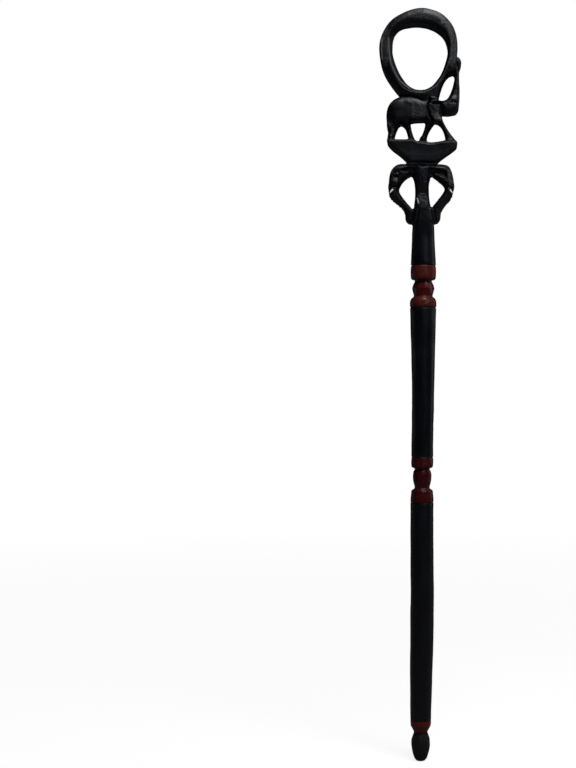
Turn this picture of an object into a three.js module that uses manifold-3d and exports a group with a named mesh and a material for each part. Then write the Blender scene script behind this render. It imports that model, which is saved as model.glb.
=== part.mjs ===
// Carved walking stick that comes apart into three sections, in millimetres with Z up.
// The foot's flat is centred on the origin, the round shaft stands on the Z axis,
// and the carved elephant on the handle faces +X.
import * as THREE from 'three';
import { mergeVertices } from 'three/addons/utils/BufferGeometryUtils.js';
import Module from 'manifold-3d';

const wasm = await Module();
wasm.setup();

// Heights of the stick's stretches, from the floor up
const footTipHeight = 35.2;
const footCollarHeight = 14.4;
const lowerShaftLength = 263.8;
const lowerSpoolHeight = 55.3;
const middleShaftLength = 181.1;
const upperSpoolHeight = 51.5;
const neckLength = 49.5;
const headsHeight = 73.5;
const plinthHeight = 27;
const elephantHeight = 54;
const loopRise = 106.7;

// Clearance left between two pieces that touch
const seam = 0.3;
// How far a cutter runs past the face that it opens
const overrun = 6;

// Levels that follow from the heights
const collarLevel = footTipHeight;
const lowerShaftLevel = collarLevel + footCollarHeight;
const lowerSpoolLevel = lowerShaftLevel + lowerShaftLength;
const middleShaftLevel = lowerSpoolLevel + lowerSpoolHeight;
const upperSpoolLevel = middleShaftLevel + middleShaftLength;
const neckLevel = upperSpoolLevel + upperSpoolHeight;
const headsLevel = neckLevel + neckLength;
const plinthLevel = headsLevel + headsHeight;
const elephantLevel = plinthLevel + plinthHeight;
const backLevel = elephantLevel + elephantHeight;

// Facets round a turned piece, a small one, a body mass and an eye, and steps along an outline's span
const turnedFacets = 28;
const smallFacets = 16;
const massFacets = 20;
const eyeFacets = 8;
const outlineSteps = 3;

// Threaded joint: a steel stud screws into a brass insert under each spool
const stud = { radius: 4, grip: 17.5, anchor: 34, chamfer: 1.2 };
const insert = { radius: 5.6, length: 20 };
const tenon = { radius: 5.8, length: 26 };

// Colours, roughness and metalness of the finishes
const blackWood = { color: 0x17181b, roughness: 0.42, metalness: 0 };
const redWood = { color: 0x4a1210, roughness: 0.3, metalness: 0 };
const bone = { color: 0xece6d2, roughness: 0.45, metalness: 0 };
const steel = { color: 0xb4b6b8, roughness: 0.35, metalness: 1 };
const brass = { color: 0xb58a3c, roughness: 0.35, metalness: 1 };
const paleWood = { color: 0xa5825a, roughness: 0.7, metalness: 0 };

// Turns a closed three.js geometry into a solid for joins and cuts
function solidOf(geometry) {
  const bare = geometry.clone();
  bare.deleteAttribute('normal');
  bare.deleteAttribute('uv');
  const merged = mergeVertices(bare);
  return new wasm.Manifold(new wasm.Mesh({
    numProp: 3,
    vertProperties: merged.attributes.position.array,
    triVerts: new Uint32Array(merged.index.array),
  }));
}

// Turns a solid back into a three.js geometry
function geometryOf(solid) {
  const mesh = solid.getMesh();
  const geometry = new THREE.BufferGeometry();
  geometry.setAttribute('position', new THREE.BufferAttribute(mesh.vertProperties, 3));
  geometry.setIndex(new THREE.BufferAttribute(mesh.triVerts, 1));
  geometry.computeVertexNormals();
  return geometry;
}

function joined(solids) {
  return solids.reduce((whole, next) => whole.add(next));
}

// A piece turned about Z: profile rows are [radius, level]
function turned(profile, facets) {
  const points = profile.map(([radius, level]) => new THREE.Vector2(radius, level));
  const geometry = new THREE.LatheGeometry(points, facets);
  geometry.rotateX(Math.PI / 2);
  return geometry;
}

// Runs of hand-chosen shares, smooth within a run and cornered where two runs meet
function corneredShape(runs, size, spot) {
  const place = ([across, up]) => {
    return new THREE.Vector2(spot.x + across * size.width, spot.z + up * size.height);
  };
  const shape = new THREE.Shape();
  const [first, ...rest] = runs[0];
  shape.moveTo(place(first).x, place(first).y);
  for (const run of [rest, ...runs.slice(1)]) {
    const points = run.map(place);
    if (points.length > 1) shape.splineThru(points);
    else if (points.length === 1) shape.lineTo(points[0].x, points[0].y);
  }
  return shape;
}

// A closed smooth outline through hand-chosen shares
function smoothShape(shares, size, spot) {
  const corners = shares.map(([across, up]) => {
    return new THREE.Vector3(spot.x + across * size.width, spot.z + up * size.height, 0);
  });
  const curve = new THREE.CatmullRomCurve3(corners, true);
  const points = curve.getPoints(shares.length * outlineSteps).slice(0, -1);
  return new THREE.Shape(points.map((point) => new THREE.Vector2(point.x, point.y)));
}

// An outline in the X-Z plane drawn out along Y, centred on the plane
function plate(shape, thickness) {
  const geometry = new THREE.ExtrudeGeometry(shape, {
    depth: thickness,
    bevelEnabled: false,
    curveSegments: outlineSteps,
  });
  geometry.translate(0, 0, -thickness / 2);
  geometry.rotateX(Math.PI / 2);
  return geometry;
}

// A cutter whose sides lean by a flare as it enters each face of a slab
function flaredMouths(shape, thickness, flare) {
  return [-1, 1].map((side) => {
    const mouth = new THREE.ExtrudeGeometry(shape, {
      depth: overrun,
      bevelThickness: flare,
      bevelSize: flare,
      bevelSegments: 1,
      curveSegments: outlineSteps,
    });
    mouth.translate(0, 0, -overrun / 2);
    mouth.rotateX(Math.PI / 2);
    mouth.translate(0, side * (thickness + overrun) / 2, 0);
    return solidOf(mouth);
  });
}

// A slab cut to an outline, with a chamfer all round both faces
function slab(shape, thickness, chamfer) {
  const outline = shape.getPoints(outlineSteps);
  const box = new THREE.Box2().setFromPoints(outline).expandByScalar(overrun + chamfer);
  const frame = new THREE.Shape([
    new THREE.Vector2(box.min.x, box.min.y),
    new THREE.Vector2(box.max.x, box.min.y),
    new THREE.Vector2(box.max.x, box.max.y),
    new THREE.Vector2(box.min.x, box.max.y),
  ]);
  frame.holes.push(new THREE.Path(outline));
  return solidOf(plate(shape, thickness)).subtract(joined(flaredMouths(frame, thickness, chamfer)));
}

// A cutter for a window through a slab, widened towards both faces by a flare
function windowCutter(shares, size, spot, thickness, flare) {
  const shape = smoothShape(shares, size, spot);
  return joined([solidOf(plate(shape, thickness + 2 * overrun)), ...flaredMouths(shape, thickness, flare)]);
}

// Outline of an ear, up from its foot
const leafShares = [
  [0, 0], [0.32, 0.2], [0.5, 0.5], [0.38, 0.82], [0, 1], [-0.38, 0.82], [-0.5, 0.5], [-0.32, 0.2],
];

// A raised leaf on both faces of a slab, leaning about its foot, with a root sunk in the slab
function leaves(leaf, spot, face, lean) {
  const shape = smoothShape(leafShares, leaf, { x: 0, z: 0 });
  const solids = [];
  for (const side of [-1, 1]) {
    const geometry = plate(shape, leaf.root + leaf.proud);
    geometry.rotateY(lean);
    geometry.translate(spot.x, side * (face + (leaf.proud - leaf.root) / 2), spot.z);
    solids.push(solidOf(geometry));
  }
  return joined(solids);
}

// A ball squashed to three radii
function ellipsoid(radii, spot, facets) {
  const geometry = new THREE.SphereGeometry(1, facets, facets / 2);
  geometry.rotateX(Math.PI / 2);
  geometry.scale(radii.x, radii.y, radii.z);
  geometry.translate(spot.x, spot.y, spot.z);
  return solidOf(geometry);
}

// Loop handle
const loop = {
  width: 94.5, sink: 10.1, thickness: 32, chamfer: 6, flare: 4.5, shift: -7.6,
  leftWall: 15.2, rightWall: 11.8, topWall: 19.7, bottomWall: 17.4,
};
const loopShares = [
  [[-0.21, 0], [-0.22, 0.09]],
  [[-0.37, 0.24], [-0.48, 0.43], [-0.5, 0.6], [-0.43, 0.77], [-0.23, 0.93], [0.04, 1], [0.31, 0.93],
    [0.47, 0.76], [0.5, 0.57], [0.43, 0.33], [0.29, 0.18], [0.26, 0.09]],
  [[0.26, 0]],
];
const loopOpeningShares = [
  [-0.07, 1], [-0.34, 0.96], [-0.48, 0.8], [-0.5, 0.64], [-0.45, 0.43], [-0.32, 0.19], [-0.17, 0.05],
  [0.01, 0], [0.18, 0.04], [0.33, 0.17], [0.45, 0.39], [0.5, 0.61], [0.42, 0.82], [0.24, 0.95],
];

function loopHandle() {
  const outer = { width: loop.width, height: loopRise + loop.sink };
  const spot = { x: loop.shift, z: backLevel - loop.sink };
  const opening = {
    width: outer.width - loop.leftWall - loop.rightWall,
    height: outer.height - loop.topWall - loop.bottomWall,
  };
  const openingSpot = { x: spot.x + (loop.leftWall - loop.rightWall) / 2, z: spot.z + loop.bottomWall };
  const cutter = windowCutter(loopOpeningShares, opening, openingSpot, loop.thickness, loop.flare);
  return slab(corneredShape(loopShares, outer, spot), loop.thickness, loop.chamfer).subtract(cutter);
}

// Raised trunk and head of the standing elephant
const trunk = { width: 37.5, height: 74.7, thickness: 24, chamfer: 3, reach: 25.9, chin: 30.5 };
const trunkShares = [
  [[-0.5, 0], [-0.5, 0.31]],
  [[-0.24, 0.27], [-0.05, 0.3], [0.06, 0.45], [0.1, 0.62], [0.14, 0.78], [0.26, 0.93],
    [0.36, 0.98], [0.45, 0.94], [0.5, 0.87], [0.44, 0.76], [0.45, 0.36], [0.43, 0.18], [0.34, 0.06],
    [0.15, 0.01], [-0.13, 0]],
];
const trunkWindow = { width: 18.3, height: 34.5, x: 26.6, z: 48.7, flare: 2 };
const trunkWindowShares = [
  [0.39, 1], [0.5, 0.89], [0.45, 0.54], [0.23, 0.21], [-0.07, 0.03], [-0.4, 0], [-0.5, 0.09],
  [-0.37, 0.41], [-0.17, 0.66], [0.1, 0.91],
];
const skull = { length: 30, thickness: 31, height: 17.5, x: 26, z: 39.5 };

function raisedTrunk() {
  const shape = corneredShape(trunkShares, trunk, { x: trunk.reach, z: elephantLevel + trunk.chin });
  const bar = slab(shape, trunk.thickness, trunk.chamfer);
  const radii = { x: skull.length / 2, y: skull.thickness / 2, z: skull.height / 2 };
  return bar.add(ellipsoid(radii, { x: skull.x, y: 0, z: elephantLevel + skull.z }, massFacets));
}

// Body and legs of the standing elephant
const elephant = { width: 84.4, thickness: 30, chamfer: 5, shift: -3.1, sink: 2 };
const elephantShares = [
  [[-0.49, 0], [-0.49, 0.18], [-0.5, 0.45], [-0.5, 0.7], [-0.45, 0.87], [-0.3, 1], [0.12, 1],
    [0.24, 0.88], [0.285, 0.53]],
  [[0.39, 0.24], [0.5, 0]],
];
const barrel = { length: 62, thickness: 38, height: 38, x: -14, z: 35 };
const rearWindow = { width: 16.6, height: 19.8, x: -27.6, z: 0.3 };
const rearWindowShares = [
  [-0.01, 1], [0.28, 0.83], [0.5, 0.09], [0.35, 0], [-0.41, 0.05], [-0.5, 0.21], [-0.3, 0.75],
];
const middleWindow = { width: 17.5, height: 25.4, x: -7.6, z: -0.8 };
const middleWindowShares = [
  [-0.5, 0.89], [-0.35, 0.97], [0.44, 1], [0.5, 0.89], [0.4, 0.46], [0.06, 0.01], [-0.11, 0],
  [-0.39, 0.41],
];
const frontWindow = { width: 22.5, height: 25.2, x: 14.4, z: -2.6 };
const frontWindowShares = [
  [0.01, 1], [0.31, 0.75], [0.5, 0.32], [0.47, 0.15], [-0.31, 0], [-0.5, 0.06], [-0.45, 0.41],
  [-0.23, 0.81],
];
const legFlare = 1.8;

function standingElephant() {
  const size = { width: elephant.width, height: elephantHeight + elephant.sink };
  const shape = corneredShape(elephantShares, size, { x: elephant.shift, z: elephantLevel - elephant.sink });
  const flanks = slab(shape, elephant.thickness, elephant.chamfer);
  const radii = { x: barrel.length / 2, y: barrel.thickness / 2, z: barrel.height / 2 };
  const round = ellipsoid(radii, { x: barrel.x, y: 0, z: elephantLevel + barrel.z }, massFacets);
  return flanks.add(round);
}

// The gaps under the elephant and beside its trunk
function elephantWindows() {
  const windows = [
    [rearWindow, rearWindowShares, legFlare],
    [middleWindow, middleWindowShares, legFlare],
    [frontWindow, frontWindowShares, legFlare],
    [trunkWindow, trunkWindowShares, trunkWindow.flare],
  ];
  return joined(windows.map(([size, shares, flare]) => {
    const spot = { x: size.x, z: elephantLevel + size.z };
    return windowCutter(shares, size, spot, elephant.thickness, flare);
  }));
}

// Ears and eyes of the standing elephant
const earFlap = { width: 10, height: 21, x: 13.5, z: 31, proud: 1.8, root: 6, lean: 0.5 };
const eyeball = { radius: 1.9, x: 34.6, z: 44.2 };

function elephantFeatures() {
  const flapSpot = { x: earFlap.x, z: elephantLevel + earFlap.z - earFlap.height / 2 };
  const flaps = leaves(earFlap, flapSpot, skull.thickness / 2, earFlap.lean);
  const eyes = [-1, 1].map((side) => {
    const radii = { x: eyeball.radius, y: eyeball.radius, z: eyeball.radius };
    const spot = { x: eyeball.x, y: side * trunk.thickness / 2, z: elephantLevel + eyeball.z };
    return ellipsoid(radii, spot, eyeFacets);
  });
  return joined([flaps, ...eyes]);
}

// Boat-shaped plinth that the elephant stands on
const plinth = { width: 84, thickness: 34, chamfer: 3, shift: -1.7, sink: 1.5 };
const plinthShares = [
  [[-0.49, 1.2], [-0.5, 0.96], [-0.365, 0.55], [-0.23, 0.13]],
  [[-0.22, 0]],
  [[0.22, 0]],
  [[0.23, 0.12]],
  [[0.37, 0.53], [0.5, 0.83], [0.46, 1.05]],
];

function boatPlinth() {
  const size = { width: plinth.width, height: plinthHeight + plinth.sink };
  const shape = corneredShape(plinthShares, size, { x: plinth.shift, z: plinthLevel - plinth.sink });
  return slab(shape, plinth.thickness, plinth.chamfer);
}

// Two heads back to back, whose trunks run down to the shaft
const heads = { width: 80, thickness: 29, chamfer: 4.5, shift: -3.1 };
const headsShares = [
  [[-0.32, 1], [-0.42, 0.915], [-0.485, 0.78], [-0.5, 0.58], [-0.45, 0.44], [-0.31, 0.33], [-0.24, 0.15],
    [-0.21, 0.04], [-0.13, 0]],
  [[0.19, 0]],
  [[0.27, 0.06], [0.295, 0.21], [0.39, 0.36], [0.48, 0.51], [0.5, 0.65], [0.465, 0.86], [0.38, 0.98]],
];
const leftWindow = { width: 19.4, height: 40.8, x: -20.1, z: 17.8 };
const leftWindowShares = [
  [0.28, 1], [0.44, 0.84], [0.5, 0.52], [0.46, 0.16], [0.36, 0], [-0.12, 0.23], [-0.5, 0.47],
  [-0.5, 0.66], [-0.19, 0.88],
];
const rightWindow = { width: 19.3, height: 38.4, x: 15.6, z: 20.2 };
const rightWindowShares = [
  [-0.34, 1], [0.1, 0.86], [0.5, 0.63], [0.42, 0.45], [0.04, 0.21], [-0.32, 0], [-0.46, 0.17],
  [-0.5, 0.59], [-0.44, 0.9],
];
const headFlare = 3;
const headEar = { width: 11, height: 15, x: 21.5, z: 53, proud: 1.4, root: 5, lean: 0.35 };
const headEye = { radius: 2, x: 32, z: 57 };
const mouthCut = { width: 20, height: 2.4, x: 36, z: 41.6, depth: 2.2, lean: 0.12 };

// Ribs across the outer edge of each hanging trunk
const rib = { radius: 2.1, length: 21, count: 7, inset: 1.5 };
const leftRibShares = [[0.49, 0.52], [0.44, 0.43], [0.35, 0.35], [0.27, 0.27], [0.235, 0.13]];
const rightRibShares = [[0.49, 0.52], [0.44, 0.43], [0.38, 0.36], [0.31, 0.28], [0.285, 0.16]];

function twoHeads() {
  const size = { width: heads.width, height: headsHeight };
  const shape = corneredShape(headsShares, size, { x: heads.shift, z: headsLevel });
  const block = slab(shape, heads.thickness, heads.chamfer);
  return joined([block, ...[-1, 1].flatMap((side) => [...trunkRibs(side), headFeatures(side)])]);
}

// The two gaps beside the column
function headWindows() {
  const windows = [[leftWindow, leftWindowShares], [rightWindow, rightWindowShares]];
  return joined(windows.map(([size, shares]) => {
    const spot = { x: size.x, z: headsLevel + size.z };
    return windowCutter(shares, size, spot, heads.thickness, headFlare);
  }));
}

function trunkRibs(side) {
  const shares = side < 0 ? leftRibShares : rightRibShares;
  const points = shares.map(([across, up]) => {
    const reach = across * heads.width - rib.inset;
    return new THREE.Vector3(heads.shift + side * reach, 0, headsLevel + up * headsHeight);
  });
  const spots = new THREE.CatmullRomCurve3(points).getSpacedPoints(rib.count - 1);
  return spots.map((spot) => {
    const geometry = new THREE.CylinderGeometry(rib.radius, rib.radius, rib.length, smallFacets / 2);
    geometry.translate(spot.x, 0, spot.z);
    return solidOf(geometry);
  });
}

function headFeatures(side) {
  const earSpot = { x: heads.shift + side * headEar.x, z: headsLevel + headEar.z - headEar.height / 2 };
  const ears = leaves(headEar, earSpot, heads.thickness / 2, -side * headEar.lean);
  const eyes = [-1, 1].map((face) => {
    const radii = { x: headEye.radius, y: headEye.radius, z: headEye.radius };
    const spot = {
      x: heads.shift + side * headEye.x,
      y: face * heads.thickness / 2,
      z: headsLevel + headEye.z,
    };
    return ellipsoid(radii, spot, eyeFacets);
  });
  return joined([ears, ...eyes]);
}

// The slit of each mouth, cut into both faces above the tusk
function mouthCuts() {
  const cuts = [];
  for (const side of [-1, 1]) {
    for (const face of [-1, 1]) {
      const geometry = new THREE.BoxGeometry(mouthCut.width, 2 * mouthCut.depth, mouthCut.height);
      geometry.rotateY(side * mouthCut.lean);
      geometry.translate(heads.shift + side * mouthCut.x, face * heads.thickness / 2,
        headsLevel + mouthCut.z);
      cuts.push(solidOf(geometry));
    }
  }
  return joined(cuts);
}

// Column between the two trunks, which widens into the round shaft
const column = { width: 25.9, height: 76, thickness: 31, chamfer: 5, shift: -0.7, drop: 3.5 };
const columnShares = [
  [[-0.28, 1], [-0.35, 0.6], [-0.38, 0.37], [-0.5, 0]],
  [[0.5, 0]],
  [[0.29, 0.37], [0.26, 0.6], [0.24, 1]],
];
const columnGroove = { width: 2.4, length: 42, depth: 1.6, top: 68 };
const columnStep = { height: 2.6, depth: 1.4, z: 30 };

function middleColumn() {
  const shape = corneredShape(columnShares, column, { x: column.shift, z: headsLevel - column.drop });
  return slab(shape, column.thickness, column.chamfer);
}

// The upright groove down the column and the step across its foot, on both faces
function columnCuts() {
  const cuts = [];
  for (const face of [-1, 1]) {
    const groove = new THREE.BoxGeometry(columnGroove.width, columnGroove.width, columnGroove.length);
    groove.rotateZ(Math.PI / 4);
    const grooveFace = column.thickness / 2 + columnGroove.width / Math.SQRT2 - columnGroove.depth;
    groove.translate(column.shift, face * grooveFace,
      headsLevel + columnGroove.top - columnGroove.length / 2);
    const step = new THREE.BoxGeometry(column.width / 2, 2 * columnStep.depth, columnStep.height);
    step.translate(column.shift, face * column.thickness / 2, headsLevel + columnStep.z);
    cuts.push(solidOf(groove), solidOf(step));
  }
  return joined(cuts);
}

// Round neck of the carved head, with the tenon that the upper spool is glued on
const neck = { bottomRadius: 15.3, middleRadius: 14.3, topRadius: 13.2, hiddenRadius: 12, hiddenRise: 8 };
const neckMiddleShare = 0.4;

function neckAndTenon() {
  return solidOf(turned([
    [0, neckLevel - tenon.length],
    [tenon.radius, neckLevel - tenon.length],
    [tenon.radius, neckLevel + seam],
    [neck.bottomRadius, neckLevel + seam],
    [neck.middleRadius, neckLevel + neckMiddleShare * neckLength],
    [neck.topRadius, headsLevel],
    [neck.hiddenRadius, headsLevel + neck.hiddenRise],
    [0, headsLevel + neck.hiddenRise],
  ], turnedFacets));
}

// Tusks: tapered pegs set in drilled holes below each mouth
const tusk = { rootRadius: 1.7, tipRadius: 0.6, length: 12.5, tipLength: 1.2, set: 5 };
const tuskSeat = { x: 33.4, z: 42.6, sunk: 2.8 };
const tuskAim = { out: 0.52, forward: 0.52, down: 0.66 };

// Moves a shape made along +Y, root at the origin, to the tusk's seat on one side and one face
function seatTusk(geometry, side, face) {
  const aim = new THREE.Vector3(side * tuskAim.out, face * tuskAim.forward, -tuskAim.down).normalize();
  const upright = new THREE.Vector3(0, 1, 0);
  geometry.applyQuaternion(new THREE.Quaternion().setFromUnitVectors(upright, aim));
  geometry.translate(heads.shift + side * tuskSeat.x, face * (heads.thickness / 2 - tuskSeat.sunk),
    headsLevel + tuskSeat.z);
  return geometry;
}

function tuskGeometry(side, face) {
  const profile = [
    [0, 0],
    [tusk.rootRadius, 0],
    [tusk.rootRadius, tusk.set],
    [tusk.tipRadius, tusk.length - tusk.tipLength],
    [0, tusk.length],
  ];
  const points = profile.map(([radius, along]) => new THREE.Vector2(radius, along));
  return seatTusk(new THREE.LatheGeometry(points, smallFacets), side, face);
}

// The drilled hole, and the way cleared in front of it for the tusk
function tuskHole(side, face) {
  const points = [
    [0, -seam],
    [tusk.rootRadius + 2 * seam, -seam],
    [tusk.rootRadius + 2 * seam, tusk.length + overrun],
    [0, tusk.length + overrun],
  ].map(([radius, along]) => new THREE.Vector2(radius, along));
  return solidOf(seatTusk(new THREE.LatheGeometry(points, smallFacets), side, face));
}

const corners = [-1, 1].flatMap((side) => [-1, 1].map((face) => [side, face]));

function carvedHead() {
  const masses = [loopHandle(), standingElephant(), raisedTrunk(), elephantFeatures(), boatPlinth()];
  const upper = joined(masses).subtract(elephantWindows());
  const lower = joined([twoHeads(), middleColumn(), neckAndTenon()])
    .subtract(joined([headWindows(), mouthCuts(), columnCuts()]));
  const holes = joined(corners.map(([side, face]) => tuskHole(side, face)));
  return geometryOf(upper.add(lower).subtract(holes));
}

// Red spools: a band at each end, a neck inside each band and a bead between the necks
const upperSpool = {
  bottomBand: 15.7, topBand: 15.5, lowerNeck: 11.2, upperNeck: 10.2, bead: 13.3,
  bottomBandHeight: 10, topBandHeight: 15, lip: 2.2, beadLevel: 23.8, beadHeight: 9, bevel: 0.8,
};
const lowerSpool = {
  bottomBand: 13.9, topBand: 13.1, lowerNeck: 8.9, upperNeck: 9.1, bead: 11.1,
  bottomBandHeight: 13.5, topBandHeight: 10.5, lip: 2.2, beadLevel: 32, beadHeight: 9, bevel: 0.7,
};

function spoolGeometry(size, level, height) {
  const bore = Math.max(tenon.radius, insert.radius) + seam;
  const bottom = level + seam;
  const top = level + height;
  const lowBand = level + size.bottomBandHeight;
  const highBand = top - size.topBandHeight;
  const bead = level + size.beadLevel;
  const half = size.beadHeight / 2;
  return turned([
    [bore, bottom],
    [size.bottomBand - size.bevel, bottom],
    [size.bottomBand, bottom + size.bevel],
    [size.bottomBand, lowBand - size.bevel],
    [size.bottomBand - size.bevel, lowBand],
    [size.lowerNeck, lowBand + size.lip],
    [size.lowerNeck, bead - half - size.lip],
    [size.bead - size.bevel, bead - half],
    [size.bead, bead],
    [size.bead - size.bevel, bead + half],
    [size.upperNeck, bead + half + size.lip],
    [size.upperNeck, highBand - size.lip],
    [size.topBand - size.bevel, highBand],
    [size.topBand, highBand + size.bevel],
    [size.topBand, top],
    [bore, top],
    [bore, bottom],
  ], turnedFacets);
}

function insertGeometry(level) {
  const bore = stud.radius + seam;
  return turned([
    [bore, level + seam],
    [insert.radius, level + seam],
    [insert.radius, level + insert.length],
    [bore, level + insert.length],
    [bore, level + seam],
  ], smallFacets);
}

function studGeometry(level) {
  return turned([
    [0, level - stud.anchor],
    [stud.radius - stud.chamfer, level - stud.anchor],
    [stud.radius, level - stud.anchor + stud.chamfer],
    [stud.radius, level + stud.grip - stud.chamfer],
    [stud.radius - stud.chamfer, level + stud.grip],
    [0, level + stud.grip],
  ], smallFacets);
}

// Middle section: shaft with a socket for the stud above and a tenon for the spool below
const middleShaft = { bottomRadius: 13, waistRadius: 12.8, shoulderRadius: 14.8, topRadius: 15.6 };
const middleWaistShare = 0.18;
const middleShoulderShare = 0.78;

function middleShaftGeometry() {
  const top = upperSpoolLevel;
  const socket = stud.radius + seam;
  return turned([
    [0, middleShaftLevel - tenon.length],
    [tenon.radius, middleShaftLevel - tenon.length],
    [tenon.radius, middleShaftLevel + seam],
    [middleShaft.bottomRadius, middleShaftLevel + seam],
    [middleShaft.waistRadius, middleShaftLevel + middleWaistShare * middleShaftLength],
    [middleShaft.shoulderRadius, middleShaftLevel + middleShoulderShare * middleShaftLength],
    [middleShaft.topRadius, top],
    [socket, top],
    [socket, top - stud.anchor - seam],
    [0, top - stud.anchor - seam],
  ], turnedFacets);
}

// Lower section: shaft, collar, foot and the dowel that holds them together
const lowerShaft = { bottomRadius: 12.2, ankleRadius: 12.6, calfRadius: 13.8, topRadius: 13.8 };
const ankleShare = 0.1;
const calfShare = 0.4;
const dowel = { radius: 3, length: 57, tipDepth: 17 };
const footCollar = { bottomRadius: 8.2, topRadius: 12, lip: 2 };
const footTip = { flatRadius: 4, lowRadius: 8.6, wideRadius: 11.3, highRadius: 10.3, neckRadius: 7.9 };
const lowLevelShare = 0.16;
const wideLevelShare = 0.56;
const highLevelShare = 0.78;
const neckLevelShare = 0.95;

function lowerShaftGeometry() {
  const top = lowerSpoolLevel;
  const socket = stud.radius + seam;
  const dowelBore = dowel.radius + seam;
  const dowelTop = footTipHeight - dowel.tipDepth + dowel.length;
  return turned([
    [0, dowelTop + seam],
    [dowelBore, dowelTop + seam],
    [dowelBore, lowerShaftLevel + seam],
    [lowerShaft.bottomRadius, lowerShaftLevel + seam],
    [lowerShaft.ankleRadius, lowerShaftLevel + ankleShare * lowerShaftLength],
    [lowerShaft.calfRadius, lowerShaftLevel + calfShare * lowerShaftLength],
    [lowerShaft.topRadius, top],
    [socket, top],
    [socket, top - stud.anchor - seam],
    [0, top - stud.anchor - seam],
  ], turnedFacets);
}

function footCollarGeometry() {
  const bore = dowel.radius + seam;
  const bottom = collarLevel + seam;
  const top = collarLevel + footCollarHeight;
  return turned([
    [bore, bottom],
    [footCollar.bottomRadius, bottom],
    [footCollar.topRadius, top - footCollar.lip],
    [footCollar.topRadius, top],
    [bore, top],
    [bore, bottom],
  ], turnedFacets);
}

function footTipGeometry() {
  const bore = dowel.radius + seam;
  const boreBottom = footTipHeight - dowel.tipDepth - seam;
  return turned([
    [0, 0],
    [footTip.flatRadius, 0],
    [footTip.lowRadius, lowLevelShare * footTipHeight],
    [footTip.wideRadius, wideLevelShare * footTipHeight],
    [footTip.highRadius, highLevelShare * footTipHeight],
    [footTip.neckRadius, neckLevelShare * footTipHeight],
    [footTip.neckRadius, footTipHeight],
    [bore, footTipHeight],
    [bore, boreBottom],
    [0, boreBottom],
  ], turnedFacets);
}

function footDowelGeometry() {
  const bottom = footTipHeight - dowel.tipDepth;
  return turned([
    [0, bottom],
    [dowel.radius, bottom],
    [dowel.radius, bottom + dowel.length],
    [0, bottom + dowel.length],
  ], smallFacets);
}

const group = new THREE.Group();

function addPiece(name, geometry, finish) {
  const piece = new THREE.Mesh(geometry, new THREE.MeshStandardMaterial(finish));
  piece.name = name;
  group.add(piece);
}

addPiece('carved_head', carvedHead(), blackWood);
for (const [side, face] of corners) {
  const name = `tusk_${side < 0 ? 'left' : 'right'}_${face < 0 ? 'front' : 'back'}`;
  addPiece(name, tuskGeometry(side, face), bone);
}
addPiece('upper_spool', spoolGeometry(upperSpool, upperSpoolLevel, upperSpoolHeight), redWood);
addPiece('upper_insert', insertGeometry(upperSpoolLevel), brass);
addPiece('upper_stud', studGeometry(upperSpoolLevel), steel);
addPiece('middle_shaft', middleShaftGeometry(), blackWood);
addPiece('lower_spool', spoolGeometry(lowerSpool, lowerSpoolLevel, lowerSpoolHeight), redWood);
addPiece('lower_insert', insertGeometry(lowerSpoolLevel), brass);
addPiece('lower_stud', studGeometry(lowerSpoolLevel), steel);
addPiece('lower_shaft', lowerShaftGeometry(), blackWood);
addPiece('foot_collar', footCollarGeometry(), redWood);
addPiece('foot_tip', footTipGeometry(), blackWood);
addPiece('foot_dowel', footDowelGeometry(), paleWood);

export default group;
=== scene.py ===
# Carved take-down walking stick: the carving, finishes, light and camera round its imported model.
# Blender 4.5, metres. Sizes in the dictionaries are millimetres, and mm turns them into metres.
import math

import bmesh
import bpy
import numpy as np
from mathutils import Matrix, Vector, geometry, noise


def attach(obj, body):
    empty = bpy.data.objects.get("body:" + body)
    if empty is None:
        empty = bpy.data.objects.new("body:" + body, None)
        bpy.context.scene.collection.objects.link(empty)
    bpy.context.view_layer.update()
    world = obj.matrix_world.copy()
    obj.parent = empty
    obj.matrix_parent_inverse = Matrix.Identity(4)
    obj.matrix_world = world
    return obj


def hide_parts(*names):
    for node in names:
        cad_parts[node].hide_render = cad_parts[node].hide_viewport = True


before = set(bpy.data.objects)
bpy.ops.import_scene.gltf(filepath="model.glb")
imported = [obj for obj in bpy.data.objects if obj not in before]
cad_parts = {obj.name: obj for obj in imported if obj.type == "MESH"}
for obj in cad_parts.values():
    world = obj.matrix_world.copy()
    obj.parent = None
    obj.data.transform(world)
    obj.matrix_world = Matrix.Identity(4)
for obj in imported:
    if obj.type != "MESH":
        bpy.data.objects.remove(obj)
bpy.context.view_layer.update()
mm = 0.001
print("frame loaded with", len(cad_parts), "nodes")

# Camera: level with the stick's middle, and shifted so that the stick stands on the right
view = {
    "distance": 1640, "height": 457.4, "pixel": 1.2151, "axisPixel": 422.7, "lean": 0.336,
    "imageWidth": 576, "imageHeight": 768, "sensor": 36, "near": 50, "far": 500000,
}


def addCamera():
    data = bpy.data.cameras.new("camera")
    data.sensor_width = view["sensor"]
    focalPixels = view["distance"] / view["pixel"]
    data.lens = focalPixels * view["sensor"] / view["imageHeight"]
    data.shift_x = (view["imageWidth"] / 2 - view["axisPixel"]) / view["imageHeight"]
    data.clip_start = view["near"] * mm
    data.clip_end = view["far"] * mm
    camera = bpy.data.objects.new("camera", data)
    bpy.context.scene.collection.objects.link(camera)
    facing = Matrix.Rotation(math.pi / 2, 4, "X") @ Matrix.Rotation(math.radians(view["lean"]), 4, "Z")
    camera.matrix_world = Matrix.Translation((0, -view["distance"] * mm, view["height"] * mm)) @ facing
    bpy.context.scene.camera = camera


addCamera()
print("camera set")


# Materials. A texture is scale along each axis, size, detail and roughness, and a range is low and high
def addNode(tree, kind, sockets=None, **settings):
    made = tree.nodes.new("ShaderNode" + kind)
    for name, value in settings.items():
        setattr(made, name, value)
    for name, value in (sockets or {}).items():
        if isinstance(value, bpy.types.NodeSocket):
            tree.links.new(value, made.inputs[name])
        else:
            made.inputs[name].default_value = value
    return made


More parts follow.
